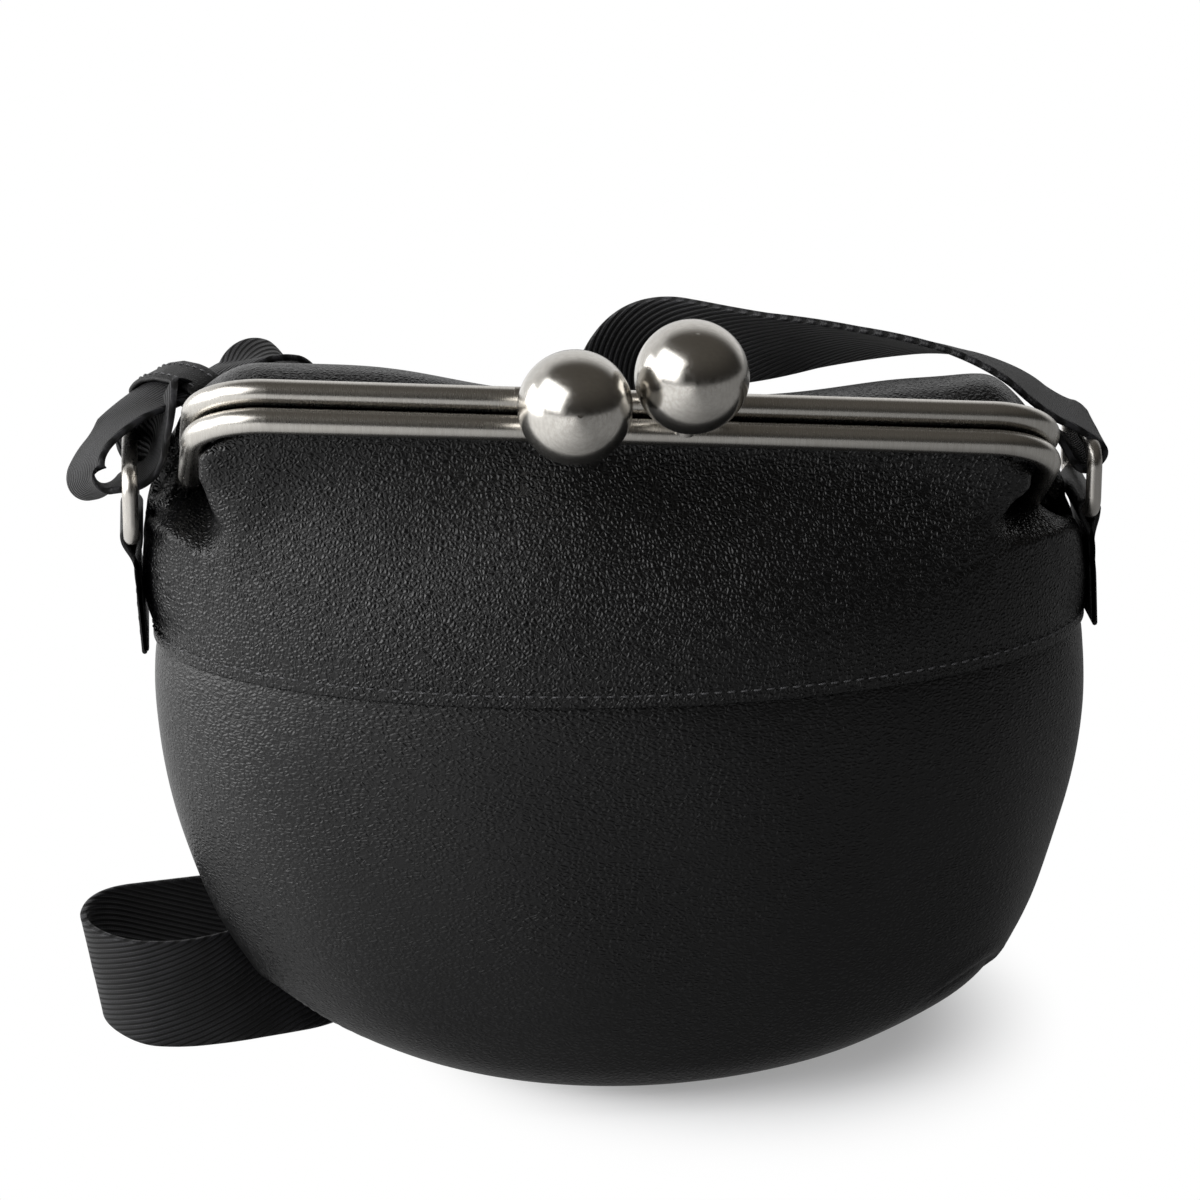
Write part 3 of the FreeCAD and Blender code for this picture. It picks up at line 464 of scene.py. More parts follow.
@dataclass(frozen=True)
class TwistedFinish:
    """Twisted yarn: sewing thread and the cord in the frame's channel."""

    name: str
    tone: Colour
    # Painted shade: a darker tone for the gaps between the plies.
    gap_shade_tone: Colour
    ply: float
    turn: float = 0.6
    depth: float = 0.05 * MM
    smooth: float = 0.45
    rough: float = 0.7

    def material(self, effects: Effects) -> Material:
        """Fine slanting plies, with painted shade in the gaps between them.

        Args:
            effects: the shared node groups.

        Returns:
            The yarn's material.
        """
        material, nodes, shader = blank_material(self.name)
        place = nodes.add("TexCoord").outputs["Object"]
        plies = nodes.group(effects.rib, Vector=place, Pitch=self.ply, Turn=self.turn)
        nodes.feed(shader, {
            # Painted shade: the yarn goes darker between the plies.
            "Base Color": nodes.tint(plies["Gap"], self.tone, self.gap_shade_tone),
            "Roughness": nodes.remap(plies["Gap"], 0.0, 1.0, self.smooth, self.rough),
            "Normal": nodes.bump(plies["Height"], self.depth),
        })
        return material


@dataclass(frozen=True)
class Wardrobe:
    """Every finish on the purse, made once."""

    body: Material
    belly: Material
    trim: Material
    base: Material
    lining: Material
    bar: Material
    ball: Material
    ring: Material
    cord: Material
    webbing: Material
    thread: Material

    @classmethod
    def build(cls) -> "Wardrobe":
        """Make the materials from their finishes.

        Returns:
            The materials.
        """
        # Each leather's darker crease tone, and each cloth's and yarn's darker gap tone, is painted shade.
        finishes = {
            "body": LeatherFinish("pebbled_body_leather"),
            "belly": LeatherFinish("pebbled_belly_leather", grain=1.0 * MM, depth=0.22 * MM, smooth=0.31,
                                   stretch=(0.6, 0.6, 1.0)),
            "trim": LeatherFinish("trim_leather_smooth", grain=0.7 * MM, depth=0.10 * MM, smooth=0.36, rough=0.5,
                                  gloss=0.3),
            "base": LeatherFinish("base_leather_worn", depth=0.16 * MM, smooth=0.5, rough=0.66),
            "lining": WovenFinish("lining_twill", tone=(0.16, 0.008, 0.012, 1.0),
                                  worn_tone=(0.20, 0.014, 0.018, 1.0), gap_shade_tone=(0.05, 0.002, 0.004, 1.0),
                                  pitch=0.7 * MM, turn=0.8, depth=0.06 * MM, coordinate="Object"),
            "bar": MetalFinish("brushed_nickel_bar"),
            "ball": MetalFinish("satin_nickel_ball", smooth=0.15, rough=0.26, lay=(0.3, 1.0, 0.3),
                                line=0.45 * MM, depth=0.0004 * MM),
            "ring": MetalFinish("brushed_nickel_ring", tone=(0.58, 0.56, 0.53, 1.0), smooth=0.24, rough=0.40,
                                lay=(1.0, 0.3, 0.05), line=0.5 * MM),
            "cord": TwistedFinish("paper_cord", tone=(0.35, 0.26, 0.16, 1.0), gap_shade_tone=(0.16, 0.11, 0.06, 1.0),
                                  ply=0.8 * MM),
            "webbing": WovenFinish("twill_webbing", tone=(0.0060, 0.0060, 0.0066, 1.0),
                                   worn_tone=(0.0130, 0.0130, 0.0148, 1.0),
                                   gap_shade_tone=(0.0015, 0.0015, 0.0015, 1.0), pitch=1.45 * MM,
                                   turn=math.radians(-20), depth=0.30 * MM, coordinate="UV"),
            "thread": TwistedFinish("waxed_thread", tone=(0.060, 0.060, 0.064, 1.0),
                                    gap_shade_tone=(0.016, 0.016, 0.016, 1.0), ply=0.3 * MM),
        }
        effects = Effects.build()
        return cls(**{name: finish.material(effects) for name, finish in finishes.items()})


# Mesh helpers

def smooth_step(value: Array, start: float | Array, end: float | Array) -> Array:
    """0 before start, 1 after end, and smooth between them."""
    share = np.clip((value - start) / (end - start), 0.0, 1.0)
    return share * share * (3.0 - 2.0 * share)


def hump(value: Array, centre: float | Array, reach: float) -> Array:
    """A round bump about a centre."""
    return np.exp(-(((value - centre) / reach) ** 2))


def unit(vectors: Array) -> Array:
    """The same directions with length 1."""
    return vectors / np.maximum(np.linalg.norm(vectors, axis=-1, keepdims=True), 1e-12)


def between(table: Table, at: Array) -> Array:
    """The values that a table's rows give at some places."""
    return np.interp(at, *np.array(table).T)


def travelled(path: Array) -> Array:
    """How far along a path each of its points is."""
    return np.concatenate([[0.0], np.cumsum(np.linalg.norm(np.diff(path, axis=0), axis=1))])


def through(points: Sequence[Sequence[float]], count: int) -> Array:
    """A smooth line through given points.

    Args:
        points: the places that it passes.
        count: how many points the line has.

    Returns:
        The line's points, spread evenly over the chords.
    """
    places = np.array(points, float)
    steps = np.linalg.norm(np.diff(places, axis=0), axis=1)
    knots = np.concatenate([[0.0], np.cumsum(steps)])
    slopes = np.gradient(places, knots, axis=0)
    at = np.linspace(0.0, knots[-1], count)
    span = np.clip(np.searchsorted(knots, at, side="right") - 1, 0, len(steps) - 1)
    width = steps[span][:, None]
    share = ((at - knots[span]) / steps[span])[:, None]
    square, cube = share ** 2, share ** 3
    return ((2 * cube - 3 * square + 1) * places[span] + (cube - 2 * square + share) * width * slopes[span]
            + (3 * square - 2 * cube) * places[span + 1] + (cube - square) * width * slopes[span + 1])


def grid_faces(rows: int, columns: int, close_rows: bool, close_columns: bool) -> Faces:
    """The quads of a grid of points, row by row.

    Args:
        rows: how many rows of points it has.
        columns: how many points a row has.
        close_rows: whether the last row meets the first.
        close_columns: whether the last column meets the first.

    Returns:
        The points of each quad.
    """
    faces = []
    for row in range(rows if close_rows else rows - 1):
        low, high = row * columns, (row + 1) % rows * columns
        for column in range(columns if close_columns else columns - 1):
            beside = (column + 1) % columns
            faces.append((low + column, low + beside, high + beside, high + column))
    return faces


def tube_faces(rings: int, sides: int) -> Faces:
    """The faces of a tube with a lid at each end."""
    last = (rings - 1) * sides
    return [*grid_faces(rings, sides, False, True), tuple(range(sides)), tuple(range(last, last + sides))]


def add_object(name: str, data: bpy.types.ID) -> Piece:
    """Put a mesh, a curve, a lamp or a camera into the scene.

    Args:
        name: the object's name.
        data: what it holds.

    Returns:
        The new object.
    """
    thing = bpy.data.objects.new(name, data)
    bpy.context.scene.collection.objects.link(thing)
    return thing


def make_piece(name: str, points: Array, faces: Sequence[Sequence[int]], materials: Sequence[Material],
               slots: Sequence[int] | None = None, weave: Array | None = None) -> Piece:
    """A mesh object from points in millimetres.

    Args:
        name: the piece's name.
        points: one row of three numbers for each point.
        faces: the points of each face.
        materials: the finishes that its faces use.
        slots: which finish each face has, or None for the first.
        weave: two numbers for each point, which the woven finish follows.

    Returns:
        The new object.
    """
    mesh = bpy.data.meshes.new(name)
    mesh.from_pydata((points * MM).tolist(), [], [tuple(face) for face in faces])
    for material in materials:
        mesh.materials.append(material)
    mesh.polygons.foreach_set("use_smooth", [True] * len(faces))
    if slots is not None:
        mesh.polygons.foreach_set("material_index", list(slots))
    if weave is not None:
        layer = mesh.uv_layers.new(name="weave")
        order = np.zeros(len(mesh.loops), int)
        mesh.loops.foreach_get("vertex_index", order)
        layer.data.foreach_set("uv", (weave * MM)[order].astype(np.float32).ravel())
    work = bmesh.new()
    work.from_mesh(mesh)
    bmesh.ops.recalc_face_normals(work, faces=work.faces)
    work.to_mesh(mesh)
    work.free()
    LOG.info("%s: %d faces", name, len(faces))
    return add_object(name, mesh)


def sheet_normals(outer: Array, closed: bool) -> Array:
    """The directions that a grid of points faces, away from its middle.

    Args:
        outer: the points, by row and column.
        closed: whether the last column meets the first.

    Returns:
        One direction for each point.
    """
    if closed:
        across = np.roll(outer, -1, axis=1) - np.roll(outer, 1, axis=1)
    else:
        across = np.gradient(outer, axis=1)
    normals = unit(np.cross(across, np.gradient(outer, axis=0)))
    away = outer - outer.reshape(-1, 3).mean(axis=0)
    return normals if (normals * away).sum() > 0 else -normals


RIM_TURNS = (math.pi / 4, math.pi / 2, 3 * math.pi / 4)


def round_rim(outer: Array, inner: Array, beside: Array, thickness: float, turns: Sequence[float]) -> list[Array]:
    """The round edge that joins a sheet's two faces.

    Args:
        outer: the edge's outer points.
        inner: the edge's inner points.
        beside: the outer points one row away from the edge.
        thickness: how thick the sheet is.
        turns: how far round the edge each of its rows is.

    Returns:
        The rows of points.
    """
    middle, half = (outer + inner) / 2, (outer - inner) / 2
    away = unit(outer - beside) * thickness / 2
    return [middle + half * math.cos(turn) + away * math.sin(turn) for turn in turns]


def sheet_piece(name: str, outer: Array, thickness: float, materials: Sequence[Material],
                closed: bool = False, faced: int = 0) -> Piece:
    """A sheet with a thickness and round rims.

    Args:
        name: the piece's name.
        outer: its outer points, by row and column, in millimetres.
        thickness: how thick the sheet is.
        materials: the outside's finish, and the inside's where it differs.
        closed: whether the last column meets the first.
        faced: how many columns at each side have the outside's finish on the inside too.

    Returns:
        The new object.
    """
    rows, columns = outer.shape[:2]
    inner = outer - sheet_normals(outer, closed) * thickness
    last_rim = round_rim(outer[-1], inner[-1], outer[-2], thickness, RIM_TURNS)
    first_rim = round_rim(outer[0], inner[0], outer[1], thickness, RIM_TURNS[::-1])
    loop = np.stack([*outer, *last_rim, *inner[::-1], *first_rim])
    faces = grid_faces(len(loop), columns, True, closed)
    per_row = columns if closed else columns - 1
    first_inner = rows + len(RIM_TURNS)
    last_inner = first_inner + rows - 1
    two_faced = len(materials) > 1
    slots = [int(two_faced and first_inner <= number // per_row < last_inner
                 and faced <= number % per_row < per_row - faced) for number in range(len(faces))]
    if not closed:
        caps = [(row, row + 1, last_inner - row - 1, last_inner - row) for row in range(rows - 1)]
        caps += [tuple(range(rows - 1, first_inner + 1)), (*range(last_inner, len(loop)), 0)]
        for column in (0, columns - 1):
            faces += [tuple(row * columns + column for row in cap) for cap in caps]
            slots += [0] * len(caps)
    return make_piece(name, loop.reshape(-1, 3), faces, materials, slots)


def nurbs_samples(poles: Array, resolution: int) -> Array:
    """Points along the smooth spline that a list of control points pulls.

    Args:
        poles: the control points.
        resolution: how many points the spline has for each of them.

    Returns:
        The spline's points.
    """
    curve = bpy.data.curves.new("strap_line", "CURVE")
    curve.dimensions = "3D"
    spline = curve.splines.new("NURBS")
    spline.points.add(len(poles) - 1)
    for point, pole in zip(spline.points, poles):
        point.co = (*pole, 1.0)
    spline.order_u = 3
    spline.use_endpoint_u = True
    spline.resolution_u = resolution
    holder = add_object("strap_line", curve)
    drawn = bpy.data.meshes.new_from_object(holder.evaluated_get(bpy.context.evaluated_depsgraph_get()))
    samples = np.array([vertex.co for vertex in drawn.vertices], float)
    bpy.data.objects.remove(holder)
    bpy.data.curves.remove(curve)
    bpy.data.meshes.remove(drawn)
    return samples


@dataclass
class StitchRow:
    """A row of sewn stitches, each a short thread that dips into the leather at its ends."""

    name: str
    path: Array
    facing: Array
    pitch: float = 3.3
    length: float = 2.5
    thread: float = 0.55
    thin: float = 0.55
    lift: float = 0.12
    sink: float = 0.35
    slant: float = 0.12
    rings: int = 7
    sides: int = 6

    def stitch(self, middle: float, reach: Array) -> list[Array]:
        """One stitch's points, ring by ring.

        Args:
            middle: how far along the path its middle is.
            reach: how far along each of the path's points is.

        Returns:
            The points, in millimetres.
        """
        first, last = (np.array([np.interp(middle + step, reach, axis) for axis in self.path.T])
                       for step in (-self.length / 2, self.length / 2))
        out = unit(np.array([np.interp(middle, reach, axis) for axis in self.facing.T]))
        beside = np.cross(out, unit(last - first))
        points = []
        for share in np.linspace(0.0, 1.0, self.rings):
            crown = math.sin(math.pi * share)
            centre = (first + (last - first) * share + beside * self.slant * (2 * share - 1)
                      + out * (self.lift * crown - self.sink * (1 - crown) ** 2))
            radius = self.thread / 2 * (self.thin + (1 - self.thin) * crown)
            for turn in np.linspace(0.0, 2 * math.pi, self.sides, endpoint=False):
                points.append(centre + (out * math.cos(turn) + beside * math.sin(turn)) * radius)
        return points

    def build(self, material: Material) -> Piece:
        """Lay the stitches along the path.

        Args:
            material: the thread's finish.

        Returns:
            All the stitches as one piece.
        """
        reach = travelled(self.path)
        count = max(1, int(reach[-1] / self.pitch))
        points: list[Array] = []
        faces: Faces = []
        for middle in (np.arange(count) + 0.5) * reach[-1] / count:
            start = len(points)
            points += self.stitch(middle, reach)
            faces += [tuple(start + number for number in face) for face in tube_faces(self.rings, self.sides)]
        return make_piece(self.name, np.array(points), faces, [material])


# Lower leather

@dataclass
class LowerBody:
    """The purse's lower leather, its base and its lining.

    A level is a height with the oval's half width and half depth there. A wave is a height, a count round the
    purse, a start and a pitch. A base fold is its place in degrees, its crown's height, its drop and its depth.
    """

    levels: tuple[Triple, ...] = (
        (0.35, 45.0, 26.5), (1.1, 53.0, 38.5), (3.0, 60.6, 47.0), (8.1, 73.2, 52.8), (18.0, 91.2, 56.6),
        (34.0, 104.4, 60.0), (60.0, 115.0, 63.0), (90.0, 119.8, 64.0), (104.0, 119.9, 63.4),
        (111.0, 119.2, 62.4), (115.0, 118.2, 61.4), (118.0, 117.8, 60.8),
    )
    base_levels: tuple[Triple, ...] = (
        (1.9, 2.0, 1.0), (1.9, 30.0, 17.0), (1.7, 41.0, 24.0), (0.9, 43.6, 25.6), (0.1, 42.6, 24.8),
        (0.02, 30.0, 17.0), (0.02, 2.0, 1.0),
    )
    leather: float = 1.6
    columns: int = 320
    rows: int = 96
    waves: tuple[tuple[float, int, float, float], ...] = (
        (0.8, 3, 0.6, 40.0), (0.5, 5, -1.1, 55.0), (0.35, 11, 0.0, 26.0))
    loosens: Span = (4.0, 24.0)
    tightens: Span = (88.0, 112.0)
    foot_right: float = 7.0
    foot_left: float = 2.5
    foot_height: float = 14.0
    foot_reach: float = 24.0
    foot_starts: Span = (0.3, 6.0)
    folds: tuple[tuple[float, float, float, float], ...] = (
        (198, 21.0, 7.5, 2.8), (334, 25.0, 6.0, 1.5), (32, 27.0, 8.0, 1.5), (146, 26.0, 7.0, 1.5),
        (359, 19.5, 3.0, 1.9))
    fold_reach: float = 12.0
    fold_ends: Span = (0.75, 1.35)
    fold_width: float = 1.5
    tuck_share: float = 0.55
    tuck_depth: float = 3.0
    tuck_starts: Span = (6.0, 14.0)
    roll_height: float = 0.5
    roll_above: float = 4.0
    roll_width: float = 3.0
    lining_gap: float = 5.0
    lining_gaps: tuple[float, ...] = (2.6, 2.6, 2.3, 1.8, 1.4, 1.1, 1.0, 1.0)
    lining_narrowing: float = 0.8
    lining_lifts: tuple[float, ...] = (3.3, 3.3, 3.3, 3.3, 0.0, 0.0, 0.0, 0.0)
    lining_top: float = 124.0
    lining_rim: Span = (112.2, 56.3)
    lining_cloth: float = 0.8
    lining_rows: int = 60
    ripple: float = 0.006
    ripples: int = 23
    ripple_pitch: float = 9.0

    def drape(self, turn: Array, height: Array) -> Array:
        """How far the leather stands in or out of its plain bowl.

        Args:
            turn: how far round the purse each point is, in radians.
            height: how high each point is.

        Returns:
            The distance outward, in millimetres.
        """
        free = smooth_step(height, *self.loosens) * (1.0 - smooth_step(height, *self.tightens))
        sway = sum(rise * np.sin(count * turn + start + height / pitch) for rise, count, start, pitch in self.waves)
        swell = (self.foot_right * np.maximum(np.cos(turn), 0.0) ** 2
                 + self.foot_left * np.maximum(-np.cos(turn), 0.0) ** 2)
        foot = hump(height, self.foot_height, self.foot_reach) * swell * smooth_step(height, *self.foot_starts)
        return free * sway + foot + self.corner_folds(turn, height)

    def corner_folds(self, turn: Array, height: Array) -> Array:
        """The creases where the leather tucks under at the base's corners.

        Args:
            turn: how far round the purse each point is, in radians.
            height: how high each point is.

        Returns:
            The distance outward, in millimetres.
        """
        total = np.zeros_like(height)
        for degrees, crown, drop, depth in self.folds:
            off = (turn - math.radians(degrees) + math.pi) % (2 * math.pi) - math.pi
            share = off / math.radians(self.fold_reach)
            arch = crown - drop * share ** 2
            crease = depth * hump(height, arch, self.fold_width)
            under = smooth_step(arch - height, 0.0, self.tuck_depth) * smooth_step(height, *self.tuck_starts)
            roll = self.roll_height * hump(height, arch + self.roll_above, self.roll_width)
            near = 1.0 - smooth_step(np.abs(share), *self.fold_ends)
            total += near * (roll - crease - self.tuck_share * depth * under)
        return total

    def bowl(self, levels: Array, drape: bool) -> Array:
        """Rings of points round the purse at each level.

        Args:
            levels: a height, a half width and a half depth for each ring.
            drape: whether the leather's sway and folds are in it.

        Returns:
            The points, by ring and place, in millimetres.
        """
        turn = np.linspace(0.0, 2 * math.pi, self.columns, endpoint=False)[None, :]
        height, width, depth = np.split(levels, 3, axis=1)
        across, along = np.cos(turn), np.sin(turn)
        height = np.broadcast_to(height, (len(levels), self.columns))
        stand = self.drape(np.broadcast_to(turn, height.shape), height) if drape else np.zeros_like(height)
        facing = unit(np.stack([across / width, along / depth], axis=-1))
        return np.stack([width * across + stand * facing[..., 0], depth * along + stand * facing[..., 1],
                         height], axis=-1)

    def lining(self) -> Array:
        """The lining's outer points, with its slight ripples.

        Returns:
            The points, by ring and place, in millimetres.
        """
        inside = [(height + lift, width - self.lining_gap * gap,
                   depth - self.lining_gap * gap * self.lining_narrowing)
                  for (height, width, depth), gap, lift in zip(self.levels[1:], self.lining_gaps, self.lining_lifts)]
        points = self.bowl(through([*inside, (self.lining_top, *self.lining_rim)], self.lining_rows), False)
        turn = np.arctan2(points[..., 1], points[..., 0])
        ripple = self.ripple * np.abs(np.sin(self.ripples * turn + points[..., 2] / self.ripple_pitch))
        points[..., :2] *= 1.0 - ripple[..., None]
        return points

    def build(self, wardrobe: Wardrobe) -> None:
        """Make the leather bowl, the base and the lining.

        Args:
            wardrobe: the finishes.
        """
        walls = through(self.levels, self.rows)
        bowl = sheet_piece("lower_leather", self.bowl(walls, True), self.leather, [wardrobe.belly], closed=True)
        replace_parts(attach(bowl, "bag"), "front_panel", "rear_panel")
        rings = self.bowl(np.array(self.base_levels), False)
        base = make_piece("base_leather_oval", rings.reshape(-1, 3), tube_faces(*rings.shape[:2]), [wardrobe.base])
        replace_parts(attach(base, "bag"), "base_panel")
        cloth = sheet_piece("lining_cloth", self.lining(), self.lining_cloth, [wardrobe.lining], closed=True)
        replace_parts(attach(cloth, "bag"), "lining")


# Upper leather

@dataclass
class FrameShape:
    """The frame's U and its place, as the CAD has them."""

    span: float = 219.5
    tube: float = 6.4
    rise: float = 50.0
    bend: float = 17.0
    spacing: float = 7.4
    leg_start: float = 13.9
    tilt: float = 52.5
    roll: float = 3.4
    origin: tuple[float, float, float] = (-3.0, 0.0, 150.0)

    def on_u(self, side: Side, share: Array, inward: float) -> Array:
        """Places along the tube, from the left foot at -1 to the right foot at 1.

        Args:
            side: which half of the frame.
            share: how far along the U each place is.
            inward: how far each is moved from the tube's middle towards the mouth.

        Returns:
            The places, in millimetres.
        """
        half = (self.span - self.tube) / 2
        bar, corner = half - self.bend, self.bend * math.pi / 2
        along = np.abs(share) * (bar + corner + self.rise - self.bend - self.leg_start)
        turn = np.clip((along - bar) / self.bend, 0.0, math.pi / 2)
        radius = self.bend - inward
        reach = np.minimum(along, bar) + radius * np.sin(turn)
        height = self.rise - self.bend + radius * np.cos(turn) - np.maximum(along - bar - corner, 0.0)
        depth = np.full_like(reach, side.value * self.spacing / 2)
        return self.place(np.stack([np.sign(share) * reach, depth, height], axis=-1))

    def place(self, points: Array) -> Array:
        """Carry points from the frame's own plane to the purse.

        Args:
            points: places across, through and up the frame's plane.

        Returns:
            The same places on the purse, in millimetres.
        """
        tilt, roll = math.radians(self.tilt), math.radians(self.roll)
        x, y, z = points[..., 0], points[..., 1], points[..., 2]
        y, z = y * math.cos(tilt) - z * math.sin(tilt), y * math.sin(tilt) + z * math.cos(tilt)
        x, z = x * math.cos(roll) + z * math.sin(roll), z * math.cos(roll) - x * math.sin(roll)
        return np.stack([x, y, z], axis=-1) + np.array(self.origin)


@dataclass(frozen=True)
class CornerShape:
    """How the upper leather gathers at one corner.

    Lip, push and lift are tables by how far out from the purse's middle: the height of the shoulder's lip, and how
    far the leather below it stands out and up. The other tables go by how far up from the seam: where the rolled
    edge runs, how far it bulges, the rear leather's fullness, and the hollow's two sides in millimetres. The crown
    is rows of place, reach and rise; the fan is the place that the pleats run from.
    """

    lip: Table
    roll: Table
    push: Table
    lift: Table
    bulge: Table
    rear_push: Table
    crown: tuple[Triple, ...]
    fan: Span
    tuck: Table
    flank: Table


# The hollow behind the rolled edge: its share of the way to the flank, and its depth
HOLLOW_ACROSS = ((0.0, 0.0), (0.22, -0.05), (0.36, 0.20), (0.48, 0.42), (0.60, 0.52), (0.80, 0.80), (1.0, 1.0))
HOLLOW_DEPTH = ((0.0, -6.0), (0.22, 6.0), (0.36, 12.0), (0.48, 7.0), (0.60, -2.0), (0.80, -3.0), (1.0, 3.0))
# How far the rear leather comes forward at its sides, by how far up it is
REAR_MEET = ((0.0, 0.0), (0.2, 3.5), (0.4, 5.0), (0.6, 2.5), (0.8, 0.0))
# The pleats below the rolled edge: slope, reach and rise
PLEATS = ((0.30, 0.016, 0.35), (0.60, 0.018, -0.35), (0.95, 0.02, 0.3), (1.4, 0.024, -0.3))

CORNERS = {
    Hand.LEFT: CornerShape(
        lip=((0.60, 0.33), (0.70, 0.345), (0.75, 0.365), (0.80, 0.395), (0.85, 0.425), (0.90, 0.445),
             (1.0, 0.45)),
        roll=((0.40, 0.69), (0.46, 0.70), (0.56, 0.75), (0.66, 0.79), (0.75, 0.81), (0.87, 0.81), (1.0, 0.80)),
        push=((0.70, 0.0), (0.75, 0.8), (0.80, 2.6), (0.85, 5.0), (0.90, 7.2), (1.0, 9.0)),
        lift=((0.70, 0.0), (0.75, 0.0), (0.80, 0.8), (0.85, 2.2), (0.90, 3.2), (1.0, 3.8)),
        bulge=((0.46, 0.0), (0.56, 1.0), (0.66, 2.0), (0.75, 4.0), (0.87, 5.0), (0.94, 2.2), (0.975, 0.0),
               (1.0, 0.0)),
        rear_push=((0.0, 0.0), (0.12, 3.3), (0.25, 5.3), (0.32, 6.6), (0.45, 6.3), (0.6, 5.6), (0.7, 4.6),
                   (0.8, 3.0), (0.9, 1.4), (1.0, 0.0)),
        crown=((0.72, 0.12, 1.0), (0.40, 0.18, 3.0)),
        fan=(0.69, 0.38),
        tuck=((0.45, 101.4), (0.55, 101.6), (0.65, 103.0), (0.75, 105.5), (0.87, 106.5), (1.0, 107.0)),
        flank=((0.40, 121.2), (0.45, 121.0), (0.55, 119.8), (0.68, 117.4), (0.80, 114.9), (0.90, 112.8),
               (1.0, 110.0)),
    ),
    Hand.RIGHT: CornerShape(
        lip=((0.55, 0.34), (0.60, 0.355), (0.70, 0.385), (0.80, 0.40), (0.90, 0.41), (1.0, 0.41)),
        roll=((0.36, 0.600), (0.42, 0.595), (0.495, 0.61), (0.53, 0.635), (0.60, 0.67), (0.69, 0.72),
              (0.77, 0.745), (0.86, 0.755), (1.0, 0.75)),
        push=((0.65, 0.0), (0.75, 1.2), (0.80, 3.0), (0.90, 6.4), (1.0, 8.0)),
        lift=((0.70, 0.0), (0.80, 1.2), (1.0, 3.0)),
        bulge=((0.55, 0.0), (0.65, 0.8), (0.75, 2.6), (0.85, 3.0), (0.93, 1.2), (0.97, 0.0), (1.0, 0.0)),
        rear_push=((0.0, 0.0), (0.12, 2.0), (0.25, 3.8), (0.40, 4.8), (0.5, 4.6), (0.6, 4.0), (0.7, 3.0),
                   (0.8, 2.0), (0.9, 1.0), (1.0, 0.0)),
        crown=((0.68, 0.08, 2.2), (0.50, 0.15, 1.2)),
        fan=(0.60, 0.35),
        tuck=((0.45, 91.5), (0.60, 93.0), (0.70, 96.0), (0.80, 98.5), (1.0, 99.5)),
        flank=((0.36, 113.5), (0.41, 112.7), (0.55, 111.0), (0.68, 110.3), (0.80, 109.6), (1.0, 108.3)),
    ),
}


